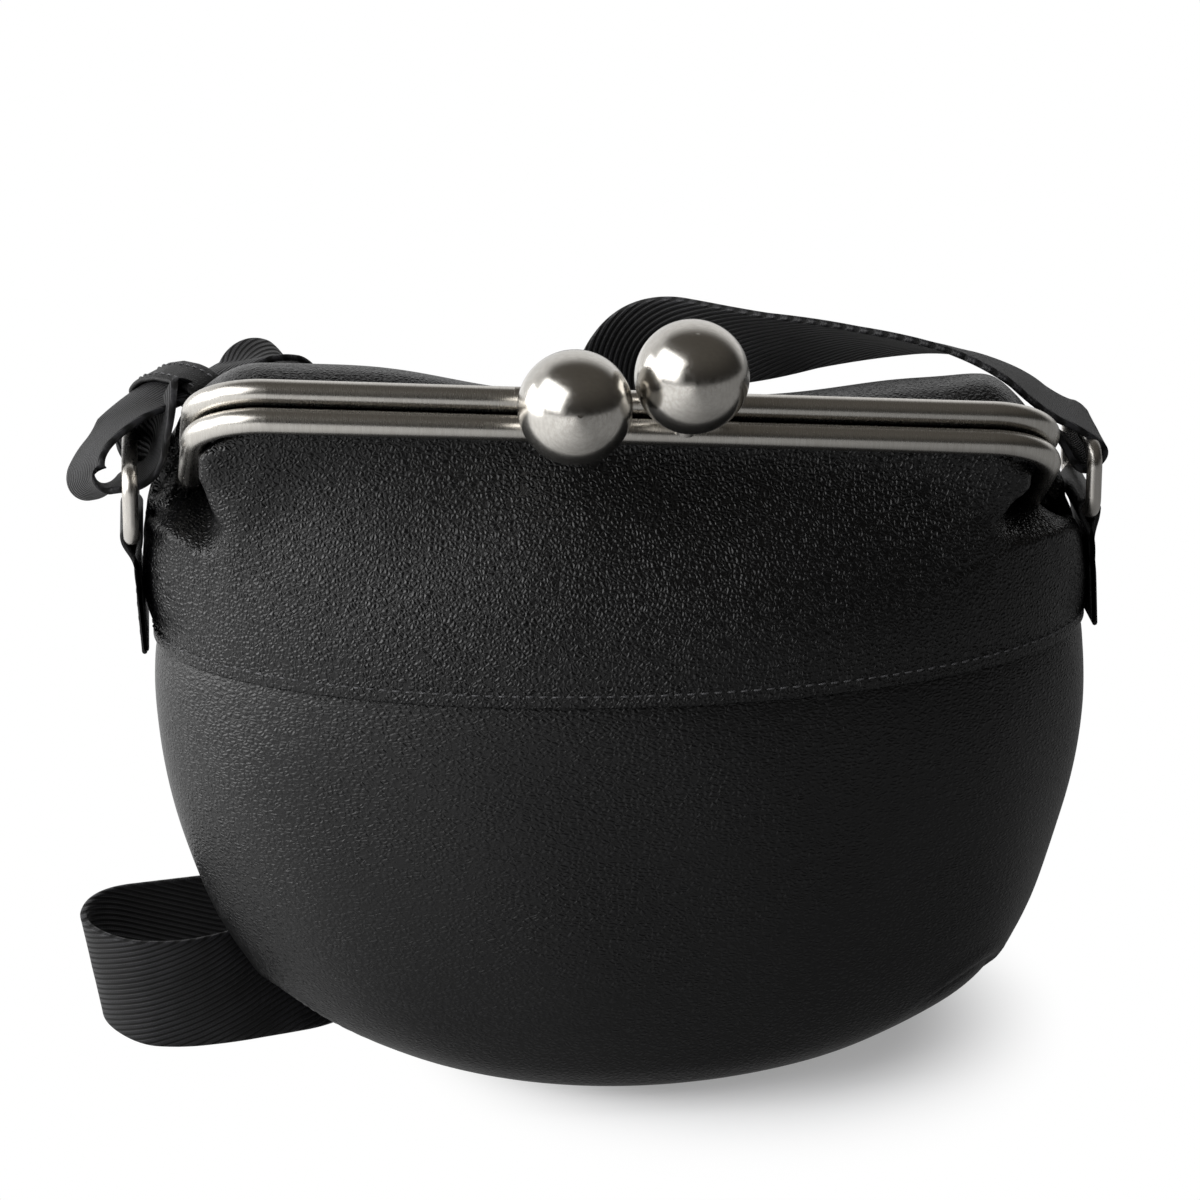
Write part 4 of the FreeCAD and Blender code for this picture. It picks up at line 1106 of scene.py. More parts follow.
@dataclass
class Yoke:
    """The upper leather of one half, from the seam to the slit in its bar.

    A wave is a height, a count round the half, a start and a turn over the leather's rise.
    """

    side: Side
    shape: FrameShape
    rise: Span
    leave: tuple[Triple, Triple]
    puff: float
    turn_end: Span
    half_width: float = 119.2
    half_depth: float = 62.24
    body_half: float = 120.0
    seam_height: float = 118.0
    parting: float = 6.66
    leather: float = 1.6
    shoulders: Span = (118.5, 113.5)
    slit_depth: float = 1.7
    tucked_depth: float = 0.78
    lap: float = 4.6
    lap_parts: tuple[float, ...] = (1.0, 0.8, 0.6, 0.4, 0.2)
    stitched_row: int = 3
    flap_steps: int = 7
    flap_inward: float = 0.3
    flap_back: Span = (0.05, 1.6)
    flap_ends: Span = (0.9, 1.05)
    waves: tuple[tuple[float, float, float, float], ...] = ((0.5, 9.0, 1.3, 3.0), (0.35, 17.0, -0.7, -5.0))
    waves_end: Span = (0.6, 0.7)
    meets: Span = (0.84, 1.0)
    meet_depth: float = 7.0
    ruck_pitch: Span = (46.0, 3.0)
    front_ruck: float = 0.3
    rear_ruck: float = 0.45
    columns: int = 441
    rows: int = 120
    faced: int = 70

    def surface(self, share: Array, step: Array) -> Array:
        """The leather's middle layer.

        Args:
            share: how far round the half each point is, from -1 at the left to 1 at the right.
            step: how far up from the seam, from 0 to 1.

        Returns:
            The points, in millimetres.
        """
        sign = self.side.value
        turn = share * math.pi / 2
        away = share ** 2
        seam = np.stack([self.half_width * np.sin(turn), sign * self.half_depth * np.cos(turn),
                         np.full_like(share, self.seam_height)], axis=-1)
        slit = self.shape.on_u(self.side, share, self.slit_depth * self.shape.tube / 2)
        shoulder = np.where(share < 0, *self.shoulders)
        climb = self.rise[0] + away * (self.rise[1] - self.rise[0])
        rise = np.stack([seam[..., 0] * (1 + away * (shoulder / self.body_half - 1)),
                         seam[..., 1] + sign * away * self.parting, seam[..., 2] + climb], axis=-1)
        middle, edge = np.array(self.leave[0]), np.array(self.leave[1])
        outward = np.stack([np.sign(share), np.ones_like(share), np.ones_like(share)], axis=-1)
        puff = np.zeros_like(seam)
        puff[..., 2] = self.puff * away * np.sin(math.pi * share) ** 2
        leave = slit + middle + (edge * outward - middle) * away[..., None] + puff
        left = 1.0 - step
        weights = (left ** 3, 3 * step * left ** 2, 3 * step ** 2 * left, step ** 3)
        points = sum(weight[..., None] * pole for weight, pole in zip(weights, (seam, rise, leave, slit)))
        return points + self.folds(share, step, points)

    def folds(self, share: Array, step: Array, points: Array) -> Array:
        """How the leather gathers beside the frame's legs and drapes between them.

        Args:
            share: how far round the half each point is.
            step: how far up from the seam.
            points: where the ungathered leather lies.

        Returns:
            How far each point moves, in millimetres.
        """
        out = np.abs(share)
        moved = np.zeros((*share.shape, 3))
        for hand in Hand:
            if self.side is Side.FRONT:
                corner = self.front_corner(hand, out, step, points)
            else:
                corner = self.rear_corner(hand, out, step)
            moved += (np.sign(share) == hand.value)[..., None] * corner
        wave = sum(rise * np.sin(count * share + start + twist * step) for rise, count, start, twist in self.waves)
        loose = np.sin(math.pi * step) ** 2 * (1.0 - smooth_step(out, *self.waves_end))
        moved[..., 1] += self.side.value * wave * loose
        return moved

    def front_corner(self, hand: Hand, out: Array, step: Array, points: Array) -> Array:
        """The shoulder beside a ring, the rolled edge towards the front and the hollow between them.

        Args:
            hand: which corner.
            out: how far out from the purse's middle each point is, from 0 to 1.
            step: how far up from the seam.
            points: where the ungathered leather lies.

        Returns:
            How far each point moves, in millimetres.
        """
        lip, edge = between(CORNERS[hand].lip, out), between(CORNERS[hand].roll, step)
        return (self.shoulder(hand, out, step, lip) + self.rolled_edge(hand, out, step, lip, edge)
                + self.hollow(hand, out, step, points, lip, edge))

    def shoulder(self, hand: Hand, out: Array, step: Array, lip: Array) -> Array:
        """The full leather below the lip, which comes back to the other half at the side.

        Args:
            hand: which corner.
            out: how far out from the purse's middle each point is.
            step: how far up from the seam.
            lip: how far up the shoulder's lip is there.

        Returns:
            How far each point moves, in millimetres.
        """
        swell, lifted, fade = 0.8, (0.25, 1.0), (-0.04, 0.15)
        low = np.clip(step / lip, 0.0, 1.0)
        below = 1.0 - smooth_step(step, lip + fade[0], lip + fade[1])
        push = between(CORNERS[hand].push, out) * low ** swell * below
        lift = between(CORNERS[hand].lift, out) * smooth_step(low, *lifted) * below
        meet = self.meet_depth * smooth_step(out, *self.meets) * low * below
        return np.stack([hand.value * push, meet, lift], axis=-1)

    def rolled_edge(self, hand: Hand, out: Array, step: Array, lip: Array, edge: Array) -> Array:
        """The roll in front of the hollow, and the pleats that fan out below it.

        Args:
            hand: which corner.
            out: how far out from the purse's middle each point is.
            step: how far up from the seam.
            lip: how far up the shoulder's lip is there.
            edge: how far out the rolled edge is there.

        Returns:
            How far each point moves, in millimetres.
        """
        crest, reach, drop, forward = -0.02, 0.06, (0.02, 0.08), 0.6
        pleats_start, pleats_end = 0.16, 0.12
        bulge = between(CORNERS[hand].bulge, step) * hump(out, edge + crest, reach)
        bulge = bulge * (1.0 - smooth_step(out, edge + drop[0], edge + drop[1]))
        across, height = CORNERS[hand].fan
        fan = sum(rise * hump(out, across - (height - step) * slope, width) for slope, width, rise in PLEATS)
        fan = fan * smooth_step(step, pleats_start, height) * (1.0 - smooth_step(step, height, lip + pleats_end))
        return np.stack([hand.value * bulge, -forward * bulge - fan, np.zeros_like(bulge)], axis=-1)

    def hollow(self, hand: Hand, out: Array, step: Array, points: Array, lip: Array, edge: Array) -> Array:
        """The leather led from the rolled edge into the hollow and out to the flank.

        Args:
            hand: which corner.
            out: how far out from the purse's middle each point is.
            step: how far up from the seam.
            points: where the ungathered leather lies.
            lip: how far up the shoulder's lip is there.
            edge: how far out the rolled edge is there.

        Returns:
            How far each point moves, in millimetres.
        """
        starts, above, ends, rucked = (0.0, 0.3), (-0.02, 0.17), (0.92, 1.0), (0.55, 0.8)
        past = np.clip((out - edge) / (1.0 - edge), 0.0, 1.0)
        tuck, flank = between(CORNERS[hand].tuck, step), between(CORNERS[hand].flank, step)
        rucks = self.front_ruck * self.rucks(out, step) * smooth_step(past, *rucked)
        led = (smooth_step(past, *starts) * smooth_step(step, lip + above[0], lip + above[1])
               * (1.0 - smooth_step(step, *ends)))
        sideways = hand.value * (tuck + (flank - tuck) * between(HOLLOW_ACROSS, past) + rucks)
        return np.stack([led * (sideways - points[..., 0]), led * (between(HOLLOW_DEPTH, past) - points[..., 1]),
                         np.zeros_like(led)], axis=-1)

    def rucks(self, out: Array, step: Array) -> Array:
        """Fine level wrinkles, strongest half way up."""
        return np.sin(step * self.ruck_pitch[0] + self.ruck_pitch[1] * out) * np.sin(math.pi * step) ** 2

    def rear_corner(self, hand: Hand, out: Array, step: Array) -> Array:
        """The rear leather's full side, with fine rucks, and its rounded top behind the bar.

        Args:
            hand: which corner.
            out: how far out from the purse's middle each point is, from 0 to 1.
            step: how far up from the seam.

        Returns:
            How far each point moves, in millimetres.
        """
        full, taper, taper_share, rucked = (0.72, 0.90), (0.93, 1.0), 0.5, (0.80, 0.92)
        crown_starts, crown_ends = (0.35, 0.75), (0.88, 1.0)
        push = between(CORNERS[hand].rear_push, step) * smooth_step(out, *full)
        push = push * (1.0 - taper_share * smooth_step(out, *taper))
        meet = smooth_step(out, *self.meets) * between(REAR_MEET, step)
        rucks = self.rear_ruck * self.rucks(out, step) * smooth_step(out, *rucked)
        top = sum(rise * hump(out, centre, reach) for centre, reach, rise in CORNERS[hand].crown)
        top = top * smooth_step(step, *crown_starts) * (1.0 - smooth_step(step, *crown_ends))
        return np.stack([hand.value * (push + rucks), -meet, top], axis=-1)

    def outer(self) -> Array:
        """The leather's outer points, from its folded lower edge up into the slit.

        Returns:
            The points, by row and column, in millimetres.
        """
        share = np.linspace(-1.0, 1.0, self.columns)
        step = np.linspace(0.0, 1.0, self.rows)[:, None]
        middle = self.surface(*np.broadcast_arrays(share[None, :], step))
        lap = [middle[0] - np.array([0.0, 0.0, self.lap * part]) for part in self.lap_parts]
        tucked = self.shape.on_u(self.side, share, self.tucked_depth * self.shape.tube / 2)
        middle = np.stack([*lap, *middle, (middle[-1] + tucked) / 2, tucked])
        if self.side is Side.FRONT:
            middle = self.with_flaps(middle)
        return middle + sheet_normals(middle, False) * self.leather / 2

    def with_flaps(self, middle: Array) -> Array:
        """Add the flap that turns in at each side and closes the purse behind the legs.

        Args:
            middle: the leather's middle layer, by row and column.

        Returns:
            The same layer with more columns at each side.
        """
        rows = np.arange(len(middle)) - len(self.lap_parts)
        back = self.flap_back[0] + self.flap_back[1] * (1.0 - smooth_step(rows / self.rows, *self.flap_ends))
        flaps = []
        for hand, column in ((Hand.LEFT, 0), (Hand.RIGHT, -1)):
            inward = np.full(len(rows), -hand.value * self.flap_inward)
            step = np.stack([inward, back, np.zeros(len(rows))], axis=-1)
            flaps.append(np.stack([middle[:, column] + step * number
                                   for number in range(1, self.flap_steps + 1)], axis=1))
        return np.concatenate([flaps[0][:, ::-1], middle, flaps[1]], axis=1)

    def build(self, wardrobe: Wardrobe) -> None:
        """Make the leather and the stitches along its folded edge.

        Args:
            wardrobe: the finishes.
        """
        label = self.side.label
        outer = self.outer()
        leather = sheet_piece(f"{label}_yoke_leather", outer, self.leather, [wardrobe.body, wardrobe.lining],
                              faced=self.faced)
        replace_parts(leather, f"{label}_yoke")
        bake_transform(leather)
        facing = sheet_normals(outer, False)
        stitches = StitchRow(f"{label}_seam_stitches", outer[self.stitched_row], facing[self.stitched_row])
        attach(stitches.build(wardrobe.thread), "bag")


# Rings and tabs

@dataclass
class SideTab:
    """A strip of leather folded round a ring's lower bar and sewn down."""

    hand: Hand
    bar_reach: float
    foot_reach: float
    bar_height: float = 144.0
    pinch_height: float = 137.0
    middle_height: float = 126.0
    foot_height: float = 114.0
    pinch_share: float = 0.36
    inner_layer: float = 0.85
    outer_layer: Triple = (0.9, 0.95, 1.0)
    outer_drop: float = 0.8
    half_width: float = 13.5
    leather: float = 1.4
    round: float = 2.95
    over_turns: tuple[float, float, int] = (195, -15, 9)
    rows: int = 110
    columns: int = 25
    sewn_rows: tuple[int, int] = (82, 106)
    stitch_inset: float = 2.4

    def line(self) -> Array:
        """The fold's line, from the inner layer's foot over the bar to the outer layer's foot.

        Returns:
            The line's points, in millimetres.
        """
        bar, foot = self.bar_reach, self.foot_reach
        pinch = bar + (foot - bar) * self.pinch_share
        middle = (foot + pinch) / 2
        over = [(bar + self.round * math.cos(turn), self.bar_height + self.round * math.sin(turn))
                for turn in np.radians(np.linspace(*self.over_turns))]
        points = [(foot - self.inner_layer, self.foot_height), (middle - self.inner_layer, self.middle_height),
                  (pinch - self.inner_layer, self.pinch_height), *over,
                  (pinch + self.outer_layer[0], self.pinch_height),
                  (middle + self.outer_layer[1], self.middle_height),
                  (foot + self.outer_layer[2], self.foot_height - self.outer_drop)]
        return through([(self.hand.value * reach, 0.0, height) for reach, height in points], self.rows)

    def build(self, wardrobe: Wardrobe) -> None:
        """Make the strip, dressed with a row of stitches by each edge.

        Args:
            wardrobe: the finishes.
        """
        line = self.line()
        across = np.linspace(-1.0, 1.0, self.columns)
        grid = np.stack([line + np.array([0.0, self.half_width * part, 0.0]) for part in across], axis=1)
        strip = sheet_piece(f"{self.hand.label}_tab_leather", grid, self.leather, [wardrobe.trim])
        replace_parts(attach(strip, "bag"), f"{self.hand.label}_tab")
        lower = line[slice(*self.sewn_rows)]
        facing = np.tile(np.array([self.hand.value, 0.0, 0.1]), (len(lower), 1))
        for word, edge in (("front", -1.0), ("back", 1.0)):
            row = lower + np.array([0.0, edge * (self.half_width - self.stitch_inset), 0.0])
            stitches = StitchRow(f"{self.hand.label}_tab_stitches_{word}", row, facing, pitch=3.0, lift=-0.1)
            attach(stitches.build(wardrobe.thread), "bag")


# Shoulder strap

@dataclass
class ShoulderStrap:
    """The webbing: end loops through the rings, the long free stretch and its keeper.

    The route is rows of a control point and the way the webbing's width lies there. Keeper points, ends and starts
    count along it.
    """

    width: float = 30.0
    thick: float = 1.8
    flat_parts: tuple[float, ...] = (0.0, 0.3, 0.6, 0.85)
    flat_dip: float = 0.06
    selvedge: Table = ((0.55, 1.0), (0.15, 0.72), (0.0, 0.0))
    keeper_length: float = 9.0
    keeper_cup: float = 3.2
    keeper_cup_reach: float = 15.0
    keeper_wall: float = 1.4
    keeper_room: float = 0.5
    keeper_power: float = 0.32
    keeper_swell: Span = (0.6, -0.2)
    keeper_sides: int = 96
    keeper_rows: int = 9
    keeper_points: Span = (1.0, 11.05)
    stitch_rows: Span = (-3.0, 3.0)
    stitch_share: float = 0.93
    stitch_lift: float = 0.05
    left_end: float = 11.0
    right_start: float = 51.0
    right_end: float = 56.6
    samples_per_point: int = 22
    route: tuple[tuple[Triple, Triple], ...] = (
        ((-108.4, 23.1, 173.5), (-0.5, 0.84, -0.2)),
        ((-114.0, 19.4, 171.5), (-0.5, 0.84, -0.2)),
        ((-120.6, 14.4, 169.0), (-0.42, 0.88, -0.22)),
        ((-127.5, 8.0, 166.6), (-0.24, 0.93, -0.28)),
        ((-135.0, 3.5, 160.5), (-0.24, 0.92, -0.33)),
        ((-136.0, 1.0, 154.2), (-0.35, 0.86, -0.38)),
        ((-131.5, 0.0, 152.4), (-0.25, 0.90, -0.36)),
        ((-126.0, 0.0, 154.6), (-0.08, 0.97, -0.22)),
        ((-119.6, 0.0, 157.6), (0.0, 1.0, 0.0)),
        ((-116.5, 4.5, 164.0), (-0.15, 0.85, -0.45)),
        ((-118.0, 15.0, 166.8), (-0.45, 0.85, -0.25)),
        ((-113.0, 19.3, 168.9), (-0.5, 0.84, -0.2)),
        ((-104.8, 24.6, 171.1), (-0.42, 0.88, -0.22)),
        ((-96.0, 32.0, 174.4), (-0.14, 0.94, -0.29)),
        ((-85.0, 43.0, 171.8), (-0.04, 0.95, -0.29)),
        ((-78.0, 60.0, 155.0), (-0.05, 0.97, -0.2)),
        ((-70.0, 77.0, 124.0), (-0.1, 0.98, 0.0)),
        ((-58.0, 85.0, 92.0), (0.0, 1.0, 0.0)),
        ((-40.0, 90.0, 58.0), (0.0, 1.0, 0.0)),
        ((-18.0, 93.0, 30.0), (0.0, 1.0, 0.0)),
        ((4.0, 95.0, 20.0), (0.0, 1.0, 0.0)),
        ((17.0, 95.0, 9.0), (0.0, 1.0, 0.0)),
        ((4.0, 95.0, 1.2), (0.0, 1.0, 0.0)),
        ((-18.0, 93.0, 1.6), (0.0, 1.0, 0.05)),
        ((-40.0, 87.0, 7.0), (0.0, 0.9, 0.35)),
        ((-61.0, 76.0, 13.2), (-0.1, 0.6, 0.8)),
        ((-81.0, 53.0, 15.5), (0.0, 0.15, 1.0)),
        ((-100.0, 37.0, 15.5), (0.0, 0.0, 1.0)),
        ((-119.0, 33.0, 15.5), (0.0, 0.0, 1.0)),
        ((-136.0, 29.0, 15.5), (-0.1, 0.0, 1.0)),
        ((-140.0, 10.0, 15.5), (-0.2, 0.0, 1.0)),
        ((-129.0, -6.0, 15.5), (-0.15, 0.0, 1.0)),
        ((-116.0, -8.0, 15.3), (-0.05, 0.0, 1.0)),
        ((-104.0, -4.6, 15.3), (-0.08, 0.1, 1.0)),
        ((-92.5, 3.5, 14.2), (-0.25, 0.33, 0.91)),
        ((-81.5, 11.5, 10.9), (-0.5, 0.5, 0.7)),
        ((-70.0, 30.0, 8.4), (-0.75, 0.4, 0.52)),
        ((-54.0, 60.0, 6.5), (-0.3, 0.85, 0.4)),
        ((-24.0, 64.0, 2.6), (0.0, 1.0, 0.1)),
        ((22.0, 64.0, 1.2), (0.0, 1.0, 0.0)),
        ((47.0, 66.0, 10.0), (0.0, 1.0, 0.0)),
        ((47.0, 77.0, 38.0), (-0.1, 1.0, 0.0)),
        ((36.0, 84.0, 66.0), (-0.45, 0.85, 0.0)),
        ((20.0, 86.0, 94.0), (-0.8, 0.5, 0.1)),
        ((7.0, 85.0, 122.0), (-0.9, 0.2, 0.4)),
        ((8.0, 81.0, 151.0), (-0.75, 0.05, 0.66)),
        ((17.0, 77.0, 164.3), (-0.4, -0.08, 0.92)),
        ((38.0, 58.0, 168.5), (-0.08, -0.60, 0.77)),
        ((62.0, 42.0, 174.2), (-0.13, -0.83, 0.54)),
        ((83.0, 24.0, 178.0), (-0.16, -0.93, 0.30)),
        ((100.0, 11.0, 174.6), (-0.28, -0.93, 0.24)),
        ((110.6, 3.0, 167.0), (-0.25, -0.95, 0.15)),
        ((118.2, 0.2, 164.0), (-0.08, -0.99, 0.04)),
        ((123.4, 0.0, 159.4), (0.0, -1.0, 0.0)),
        ((116.0, 0.0, 153.0), (0.0, -1.0, 0.0)),
        ((110.8, 0.0, 162.5), (0.0, -1.0, 0.0)),
        ((107.0, 6.5, 169.0), (-0.4, -0.9, 0.2)),
        ((100.0, 13.5, 173.2), (-0.5, -0.84, 0.2)),
    )

    def __post_init__(self) -> None:
        """Read the strap's line, length and directions from its two splines."""
        poles, leans = np.array(self.route).transpose(1, 0, 2)
        self.places = nurbs_samples(poles * MM, self.samples_per_point) / MM
        leans = nurbs_samples(leans, self.samples_per_point)
        self.ahead = unit(np.gradient(self.places, axis=0))
        self.across = unit(leans - self.ahead * (leans * self.ahead).sum(axis=1, keepdims=True))
        self.square = np.cross(self.ahead, self.across)
        self.reach = travelled(self.places)
        over, self.under = (self.sample(point) for point in self.keeper_points)
        kept = self.places[self.under]
        self.apart = float((self.places[over] - kept) @ self.square[self.under])
        self.up = self.square[self.under] * np.sign(self.apart)
        self.cup = self.keeper_cup * hump(np.linalg.norm(self.places - kept, axis=1), 0.0, self.keeper_cup_reach)

    def sample(self, point: float) -> int:
        """The sample beside one of the route's points."""
        return round((len(self.places) - 1) * point / len(self.route))

    def outline(self) -> list[Span]:
        """The webbing's cross section, with round selvedges.

        Returns:
            How far across and how far up each of its points is.
        """
        half, thin = self.width / 2, self.thick / 2
        edge = [(half * part, thin * (1.0 - self.flat_dip * (part * 3 % 1.0))) for part in self.flat_parts]
        edge += [(half - inset, thin * part) for inset, part in self.selvedge]
        right = edge + [(wide, -tall) for wide, tall in edge[-2::-1]]
        return right + [(-wide, -tall) for wide, tall in edge[1:]] + [(-wide, tall) for wide, tall in edge[-2:0:-1]]

    def band(self, name: str, first: int, last: int, material: Material) -> Piece:
        """A stretch of webbing.

        Args:
            name: the piece's name.
            first: its first sample.
            last: its last sample.
            material: the webbing's finish.

        Returns:
            The new object.
        """
        outline = self.outline()
        rows = []
        weave = []
        for number in range(first, last + 1):
            rows.append([self.places[number] + self.across[number] * wide + self.square[number] * tall
                         + self.up * self.cup[number] * (1.0 - (2 * wide / self.width) ** 2)
                         for wide, tall in outline])
            weave.append([(self.reach[number], wide) for wide, tall in outline])
        points, along = np.array(rows), np.array(weave)
        return make_piece(name, points.reshape(-1, 3), tube_faces(*points.shape[:2]), [material],
                          weave=along.reshape(-1, 2))

    def build(self, wardrobe: Wardrobe) -> None:
        """Make the strap's three stretches and its keeper.

        Args:
            wardrobe: the finishes.
        """
        last = self.sample(self.right_end)
        left, right = self.sample(self.left_end), self.sample(self.right_start)
        left_loop = self.band("left_end_loop", 0, left, wardrobe.webbing)
        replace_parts(left_loop, "strap_left_loop")
        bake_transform(left_loop)
        right_fold = self.band("right_end_fold", right, last, wardrobe.webbing)
        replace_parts(right_fold, "strap_right_fold")
        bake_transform(right_fold)
        free = self.band("shoulder_webbing", left, right, wardrobe.webbing)
        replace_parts(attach(free, "bag"), "strap_back_fall", "strap_table_loop",
                    "strap_back_rise", "strap_right_run")
        keeper, rows = self.keeper(wardrobe)

    def keeper(self, wardrobe: Wardrobe) -> tuple[Piece, list[Piece]]:
        """The leather keeper round the strap's two layers, with its two rows of stitches.

        Args:
            wardrobe: the finishes.

        Returns:
            The keeper, and its rows of stitches.
        """
        ahead, across, square = self.ahead[self.under], self.across[self.under], self.square[self.under]
        centre = self.places[self.under] + square * self.apart / 2
        wall = self.keeper_room + self.keeper_wall / 2
        wide, tall = self.width / 2 + wall, (abs(self.apart) + self.thick) / 2 + wall
        turns = np.linspace(0.0, 2 * math.pi, self.keeper_sides, endpoint=False)
        beside, above = (np.sign(part) * np.abs(part) ** self.keeper_power * half
                         for part, half in ((np.cos(turns), wide), (np.sin(turns), tall)))
        crown = 1.0 - (beside / wide) ** 2
        above = above + self.keeper_cup * crown + np.where(above > 0, *self.keeper_swell) * crown
        loop = centre + np.outer(beside, across) + np.outer(above, self.up)
        lengths = np.linspace(-0.5, 0.5, self.keeper_rows) * self.keeper_length
        piece = sheet_piece("strap_keeper_leather", np.stack([loop + ahead * length for length in lengths]),
                            self.keeper_wall, [wardrobe.trim], closed=True)
        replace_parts(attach(piece, "bag"), "strap_keeper")
        top = loop[(above > 0) & (np.abs(beside) < self.stitch_share * wide)] + self.up * self.stitch_lift
        facing = np.tile(self.up, (len(top), 1))
        rows = []
        for number, length in enumerate(self.stitch_rows):
            stitches = StitchRow(f"keeper_stitches_{number}", top + ahead * length, facing, pitch=2.9, length=2.1)
            rows.append(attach(stitches.build(wardrobe.thread), "bag"))
        return piece, rows


# Frame and hardware

class Hardware:
    """The CAD's own metal nodes, which keep their shape and get their finish."""

    def dress(self, wardrobe: Wardrobe) -> None:
        """Give each node its finish.

        Args:
            wardrobe: the finishes.
        """
        finishes: dict[str, Material] = {}
        for side in Side:
            finishes[f"{side.label}_frame"] = wardrobe.bar
            finishes[f"{side.label}_clasp_saddle"] = wardrobe.bar
            finishes[f"{side.label}_clasp_ball"] = wardrobe.ball
            finishes[f"{side.label}_channel_cord"] = wardrobe.cord
        for hand in Hand:
            finishes[f"hinge_rivet_{hand.label}"] = wardrobe.ring
            finishes[f"hinge_washer_{hand.label}"] = wardrobe.ring
            finishes[f"{hand.label}_ring"] = wardrobe.ring
        for name, material in finishes.items():
            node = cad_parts[name]
            node.data.materials.clear()
            node.data.materials.append(material)
            LOG.info("%s: %s", name, material.name)


# Studio

@dataclass
class Studio:
    """Floor, light and the photograph's camera.

    A fade of four numbers carries the first two to the last two. A lamp is its name, place, size, power and whether
    shiny surfaces show it.
    """

    azimuth: float = -5.0
    elevation: float = 20.0
    distance: float = 1.25
    target: Triple = (-0.0055, 0.0, 0.1185)
    focal_pixels: float = 4864.0
    image_pixels: float = 1200.0
    sensor: float = 36.0
    floor_reach: float = 8.0
    floor_level: float = -0.0004
    floor_patches: float = 3.0
    floor_tones: tuple[Colour, Colour] = ((0.90, 0.90, 0.90, 1.0), (0.92, 0.92, 0.92, 1.0))
    shadow_stretch: Triple = (1.15, 1.0, 1.0)
    shadow_middle: Triple = (0.034, 0.005, 0.0)
    shadow_fade: tuple[float, float, float, float] = (0.05, 0.105, 0.30, 1.0)
    # Painted reflection: how the floor's glow to glossy rays brightens towards the left and dims near the purse.
    painted_reflection_across: tuple[float, float, float, float] = (0.15, -0.32, 0.26, 1.1)
    painted_reflection_off: tuple[float, float, float, float] = (0.06, 0.30, 0.60, 1.0)
    fill_tone: Colour = (0.30, 0.30, 0.31, 1.0)
    room_tones: tuple[Colour, Colour] = ((0.020, 0.019, 0.017, 1.0), (0.085, 0.078, 0.068, 1.0))
    room_rise: Span = (0.0, 0.9)
    behind_fade: Span = (0.35, 0.85)
    behind_glow: float = 0.85
    window_side: Span = (-0.30, -0.60)
    window_sill: Span = (-0.05, 0.08)
    window_head: Span = (0.80, 0.62)
    window_glow: float = 0.55
    lamp_target: Triple = (0.0, 0.0, 0.11)
    lamps: tuple[tuple[str, Triple, Span, float, bool], ...] = (
        ("window", (-0.90, -0.45, 0.75), (1.4, 1.0), 11.0, True),
        ("side_window", (-1.15, 0.10, 0.34), (1.1, 0.6), 9.0, True),
        ("overhead", (-0.15, 0.05, 1.50), (0.7, 0.7), 13.0, False),
    )

    def aim(self, thing: Piece, place: Vector, ahead: Vector) -> None:
        """Stand a camera or a lamp at a place.

        Args:
            thing: the camera or lamp.
            place: where it stands, in metres.
            ahead: the way it faces.
        """
        thing.location = place
        thing.rotation_mode = "QUATERNION"
        thing.rotation_quaternion = ahead.to_track_quat("-Z", "Y")

    def camera(self) -> None:
        """Stand the camera where the photograph was taken from."""
        turn, lift = math.radians(self.azimuth), math.radians(self.elevation)
        back = Vector((math.sin(turn) * math.cos(lift), -math.cos(turn) * math.cos(lift), math.sin(lift)))
        data = bpy.data.cameras.new("photo_camera")
        data.sensor_width = self.sensor
        data.lens = self.focal_pixels / self.image_pixels * self.sensor
        camera = add_object("photo_camera", data)
        self.aim(camera, Vector(self.target) + back * self.distance, -back)
        bpy.context.scene.camera = camera

    def seen(self, nodes: Nodes) -> Socket:
        """Part the rays that show the background from those that light the purse.

        Args:
            nodes: the nodes to add to.

        Returns:
            1 for the rays that show it, and 0 for the others.
        """
        path = nodes.add("LightPath").outputs
        shown = nodes.calc("MAXIMUM", path["Is Camera Ray"], path["Is Glossy Ray"])
        return nodes.calc("MAXIMUM", shown, path["Is Transmission Ray"])

    def floor_material(self) -> Material:
        """Pale floor that keeps the shadow and goes to white further off, and glows to glossy rays as a painted
        reflection, brighter at the left and darker at the right and near the purse.

        Returns:
            The floor's material.
        """
        material = bpy.data.materials.new("pale_floor")
        material.use_nodes = True
        nodes = Nodes(material.node_tree)
        nodes.tree.nodes.clear()
        place = nodes.add("TexCoord").outputs["Object"]
        tone = nodes.tint(nodes.noise(place, self.floor_patches), *self.floor_tones)
        matt = nodes.add("BsdfDiffuse", {"Color": tone}).outputs[0]
        glow = nodes.add("Emission", {"Color": WHITE, "Strength": 1.0}).outputs[0]
        oval = nodes.vector("MULTIPLY", place, self.shadow_stretch)
        off = nodes.add("VectorMath", {0: oval, 1: self.shadow_middle}, operation="DISTANCE").outputs["Value"]
        share = nodes.calc("MULTIPLY", self.seen(nodes), nodes.remap(off, *self.shadow_fade))
        shown = nodes.add("MixShader", {0: share, 1: matt, 2: glow}).outputs[0]
        # Painted reflection: glossy rays see the floor glow brighter at the left, like a window-lit table, and
        # darker at the right and near the purse, like its shade.
        across = nodes.add("SeparateXYZ", {0: place}).outputs["X"]
        painted_glow = nodes.calc("MULTIPLY", nodes.remap(across, *self.painted_reflection_across), nodes.remap(off, *self.painted_reflection_off))
        mirrored = nodes.add("Emission", {"Color": WHITE, "Strength": painted_glow}).outputs[0]
        glossy = nodes.add("LightPath").outputs["Is Glossy Ray"]
        mixed = nodes.add("MixShader", {0: glossy, 1: shown, 2: mirrored}).outputs[0]
        nodes.add("OutputMaterial", {"Surface": mixed})
        return material

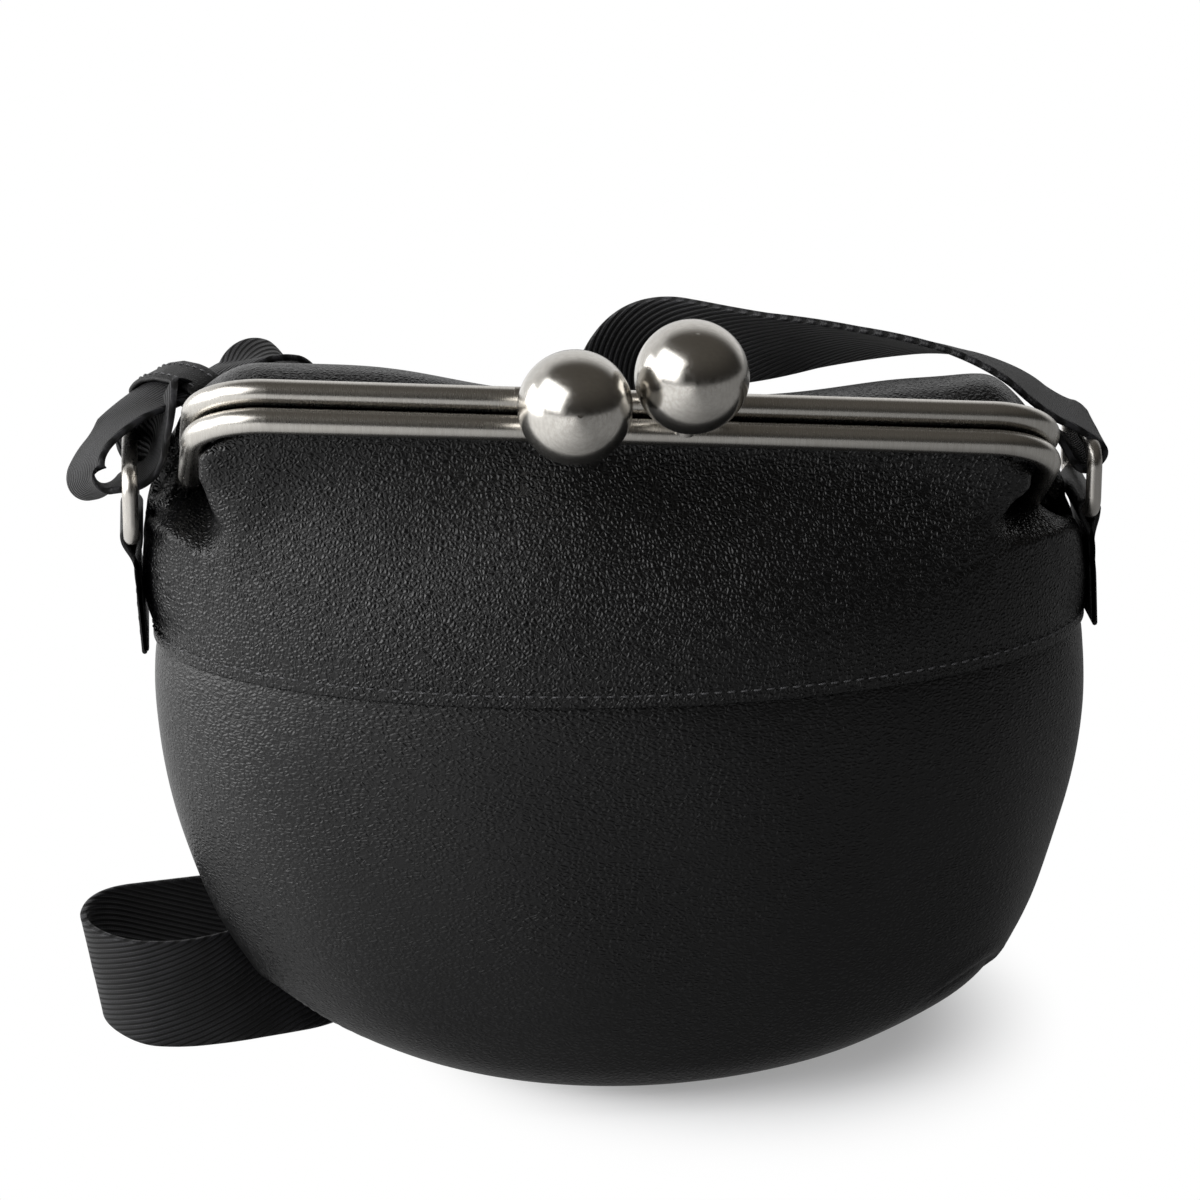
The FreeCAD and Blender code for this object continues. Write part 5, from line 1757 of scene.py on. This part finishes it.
    def floor(self) -> None:
        """Lay a wide floor under the purse."""
        reach, level = self.floor_reach, self.floor_level
        mesh = bpy.data.meshes.new("floor")
        mesh.from_pydata([(-reach, -reach, level), (reach, -reach, level), (reach, reach, level),
                          (-reach, reach, level)], [], [(0, 1, 2, 3)])
        mesh.materials.append(self.floor_material())
        add_object("floor", mesh)

    def world(self) -> None:
        """White all round to the eye; the metal and the leather show a window at the left of a dim room."""
        world = bpy.data.worlds.new("studio")
        bpy.context.scene.world = world
        world.use_nodes = True
        nodes = Nodes(world.node_tree)
        nodes.tree.nodes.clear()
        axes = nodes.add("SeparateXYZ", {0: nodes.add("TexCoord").outputs["Generated"]}).outputs
        behind = nodes.remap(axes["Y"], *self.behind_fade)
        upright = nodes.calc("MULTIPLY", nodes.remap(axes["Z"], *self.window_sill),
                             nodes.remap(axes["Z"], *self.window_head))
        panes = nodes.calc("MULTIPLY", nodes.remap(axes["X"], *self.window_side), upright)
        room = nodes.tint(nodes.remap(axes["Z"], *self.room_rise), *self.room_tones)
        room = nodes.tint(nodes.calc("MULTIPLY", behind, self.behind_glow), room, WHITE)
        room = nodes.tint(nodes.calc("MULTIPLY", panes, self.window_glow), room, WHITE)
        glossy = nodes.add("LightPath").outputs["Is Glossy Ray"]
        shown = nodes.add("Background", {"Color": nodes.tint(glossy, WHITE, room)}).outputs[0]
        fill = nodes.add("Background", {"Color": self.fill_tone}).outputs[0]
        mixed = nodes.add("MixShader", {0: self.seen(nodes), 1: fill, 2: shown}).outputs[0]
        nodes.add("OutputWorld", {"Surface": mixed})

    def lamp(self, name: str, place: Triple, size: Span, power: float, mirrored: bool) -> None:
        """A soft box that faces the purse.

        Args:
            name: the lamp's name.
            place: where it stands, in metres.
            size: its width and height.
            power: its power in watts.
            mirrored: whether shiny surfaces show it.
        """
        data = bpy.data.lights.new(name, "AREA")
        data.shape = "RECTANGLE"
        data.size, data.size_y = size
        data.energy = power
        lamp = add_object(name, data)
        lamp.visible_glossy = mirrored
        self.aim(lamp, Vector(place), Vector(self.lamp_target) - Vector(place))

    def build(self) -> None:
        """Set the whole stage."""
        bpy.context.scene.view_settings.view_transform = "Standard"
        self.camera()
        self.floor()
        self.world()
        for lamp in self.lamps:
            self.lamp(*lamp)


def main() -> None:
    """Build the purse's pieces in order, then the stage round them."""
    logging.basicConfig(level=logging.INFO, format="%(message)s")
    Studio().build()
    wardrobe = Wardrobe.build()
    ShoulderStrap().build(wardrobe)
    Hardware().dress(wardrobe)
    LowerBody().build(wardrobe)
    shape = FrameShape()
    Yoke(Side.FRONT, shape, rise=(32.48, 20.88), leave=((0.0, 2.0, -11.0), (-3.0, 1.5, -13.0)), puff=0.0,
         turn_end=(10.7, 154.8)).build(wardrobe)
    Yoke(Side.REAR, shape, rise=(38.28, 25.52), leave=((0.0, 30.0, -2.0), (-1.0, 22.5, 0.0)), puff=50.0,
         turn_end=(-17.1, 175.9)).build(wardrobe)
    for hand, bar, foot in ((Hand.LEFT, 124.5, 121.9), (Hand.RIGHT, 118.5, 120.6)):
        SideTab(hand, bar, foot).build(wardrobe)


if __name__ == "__main__":
    main()
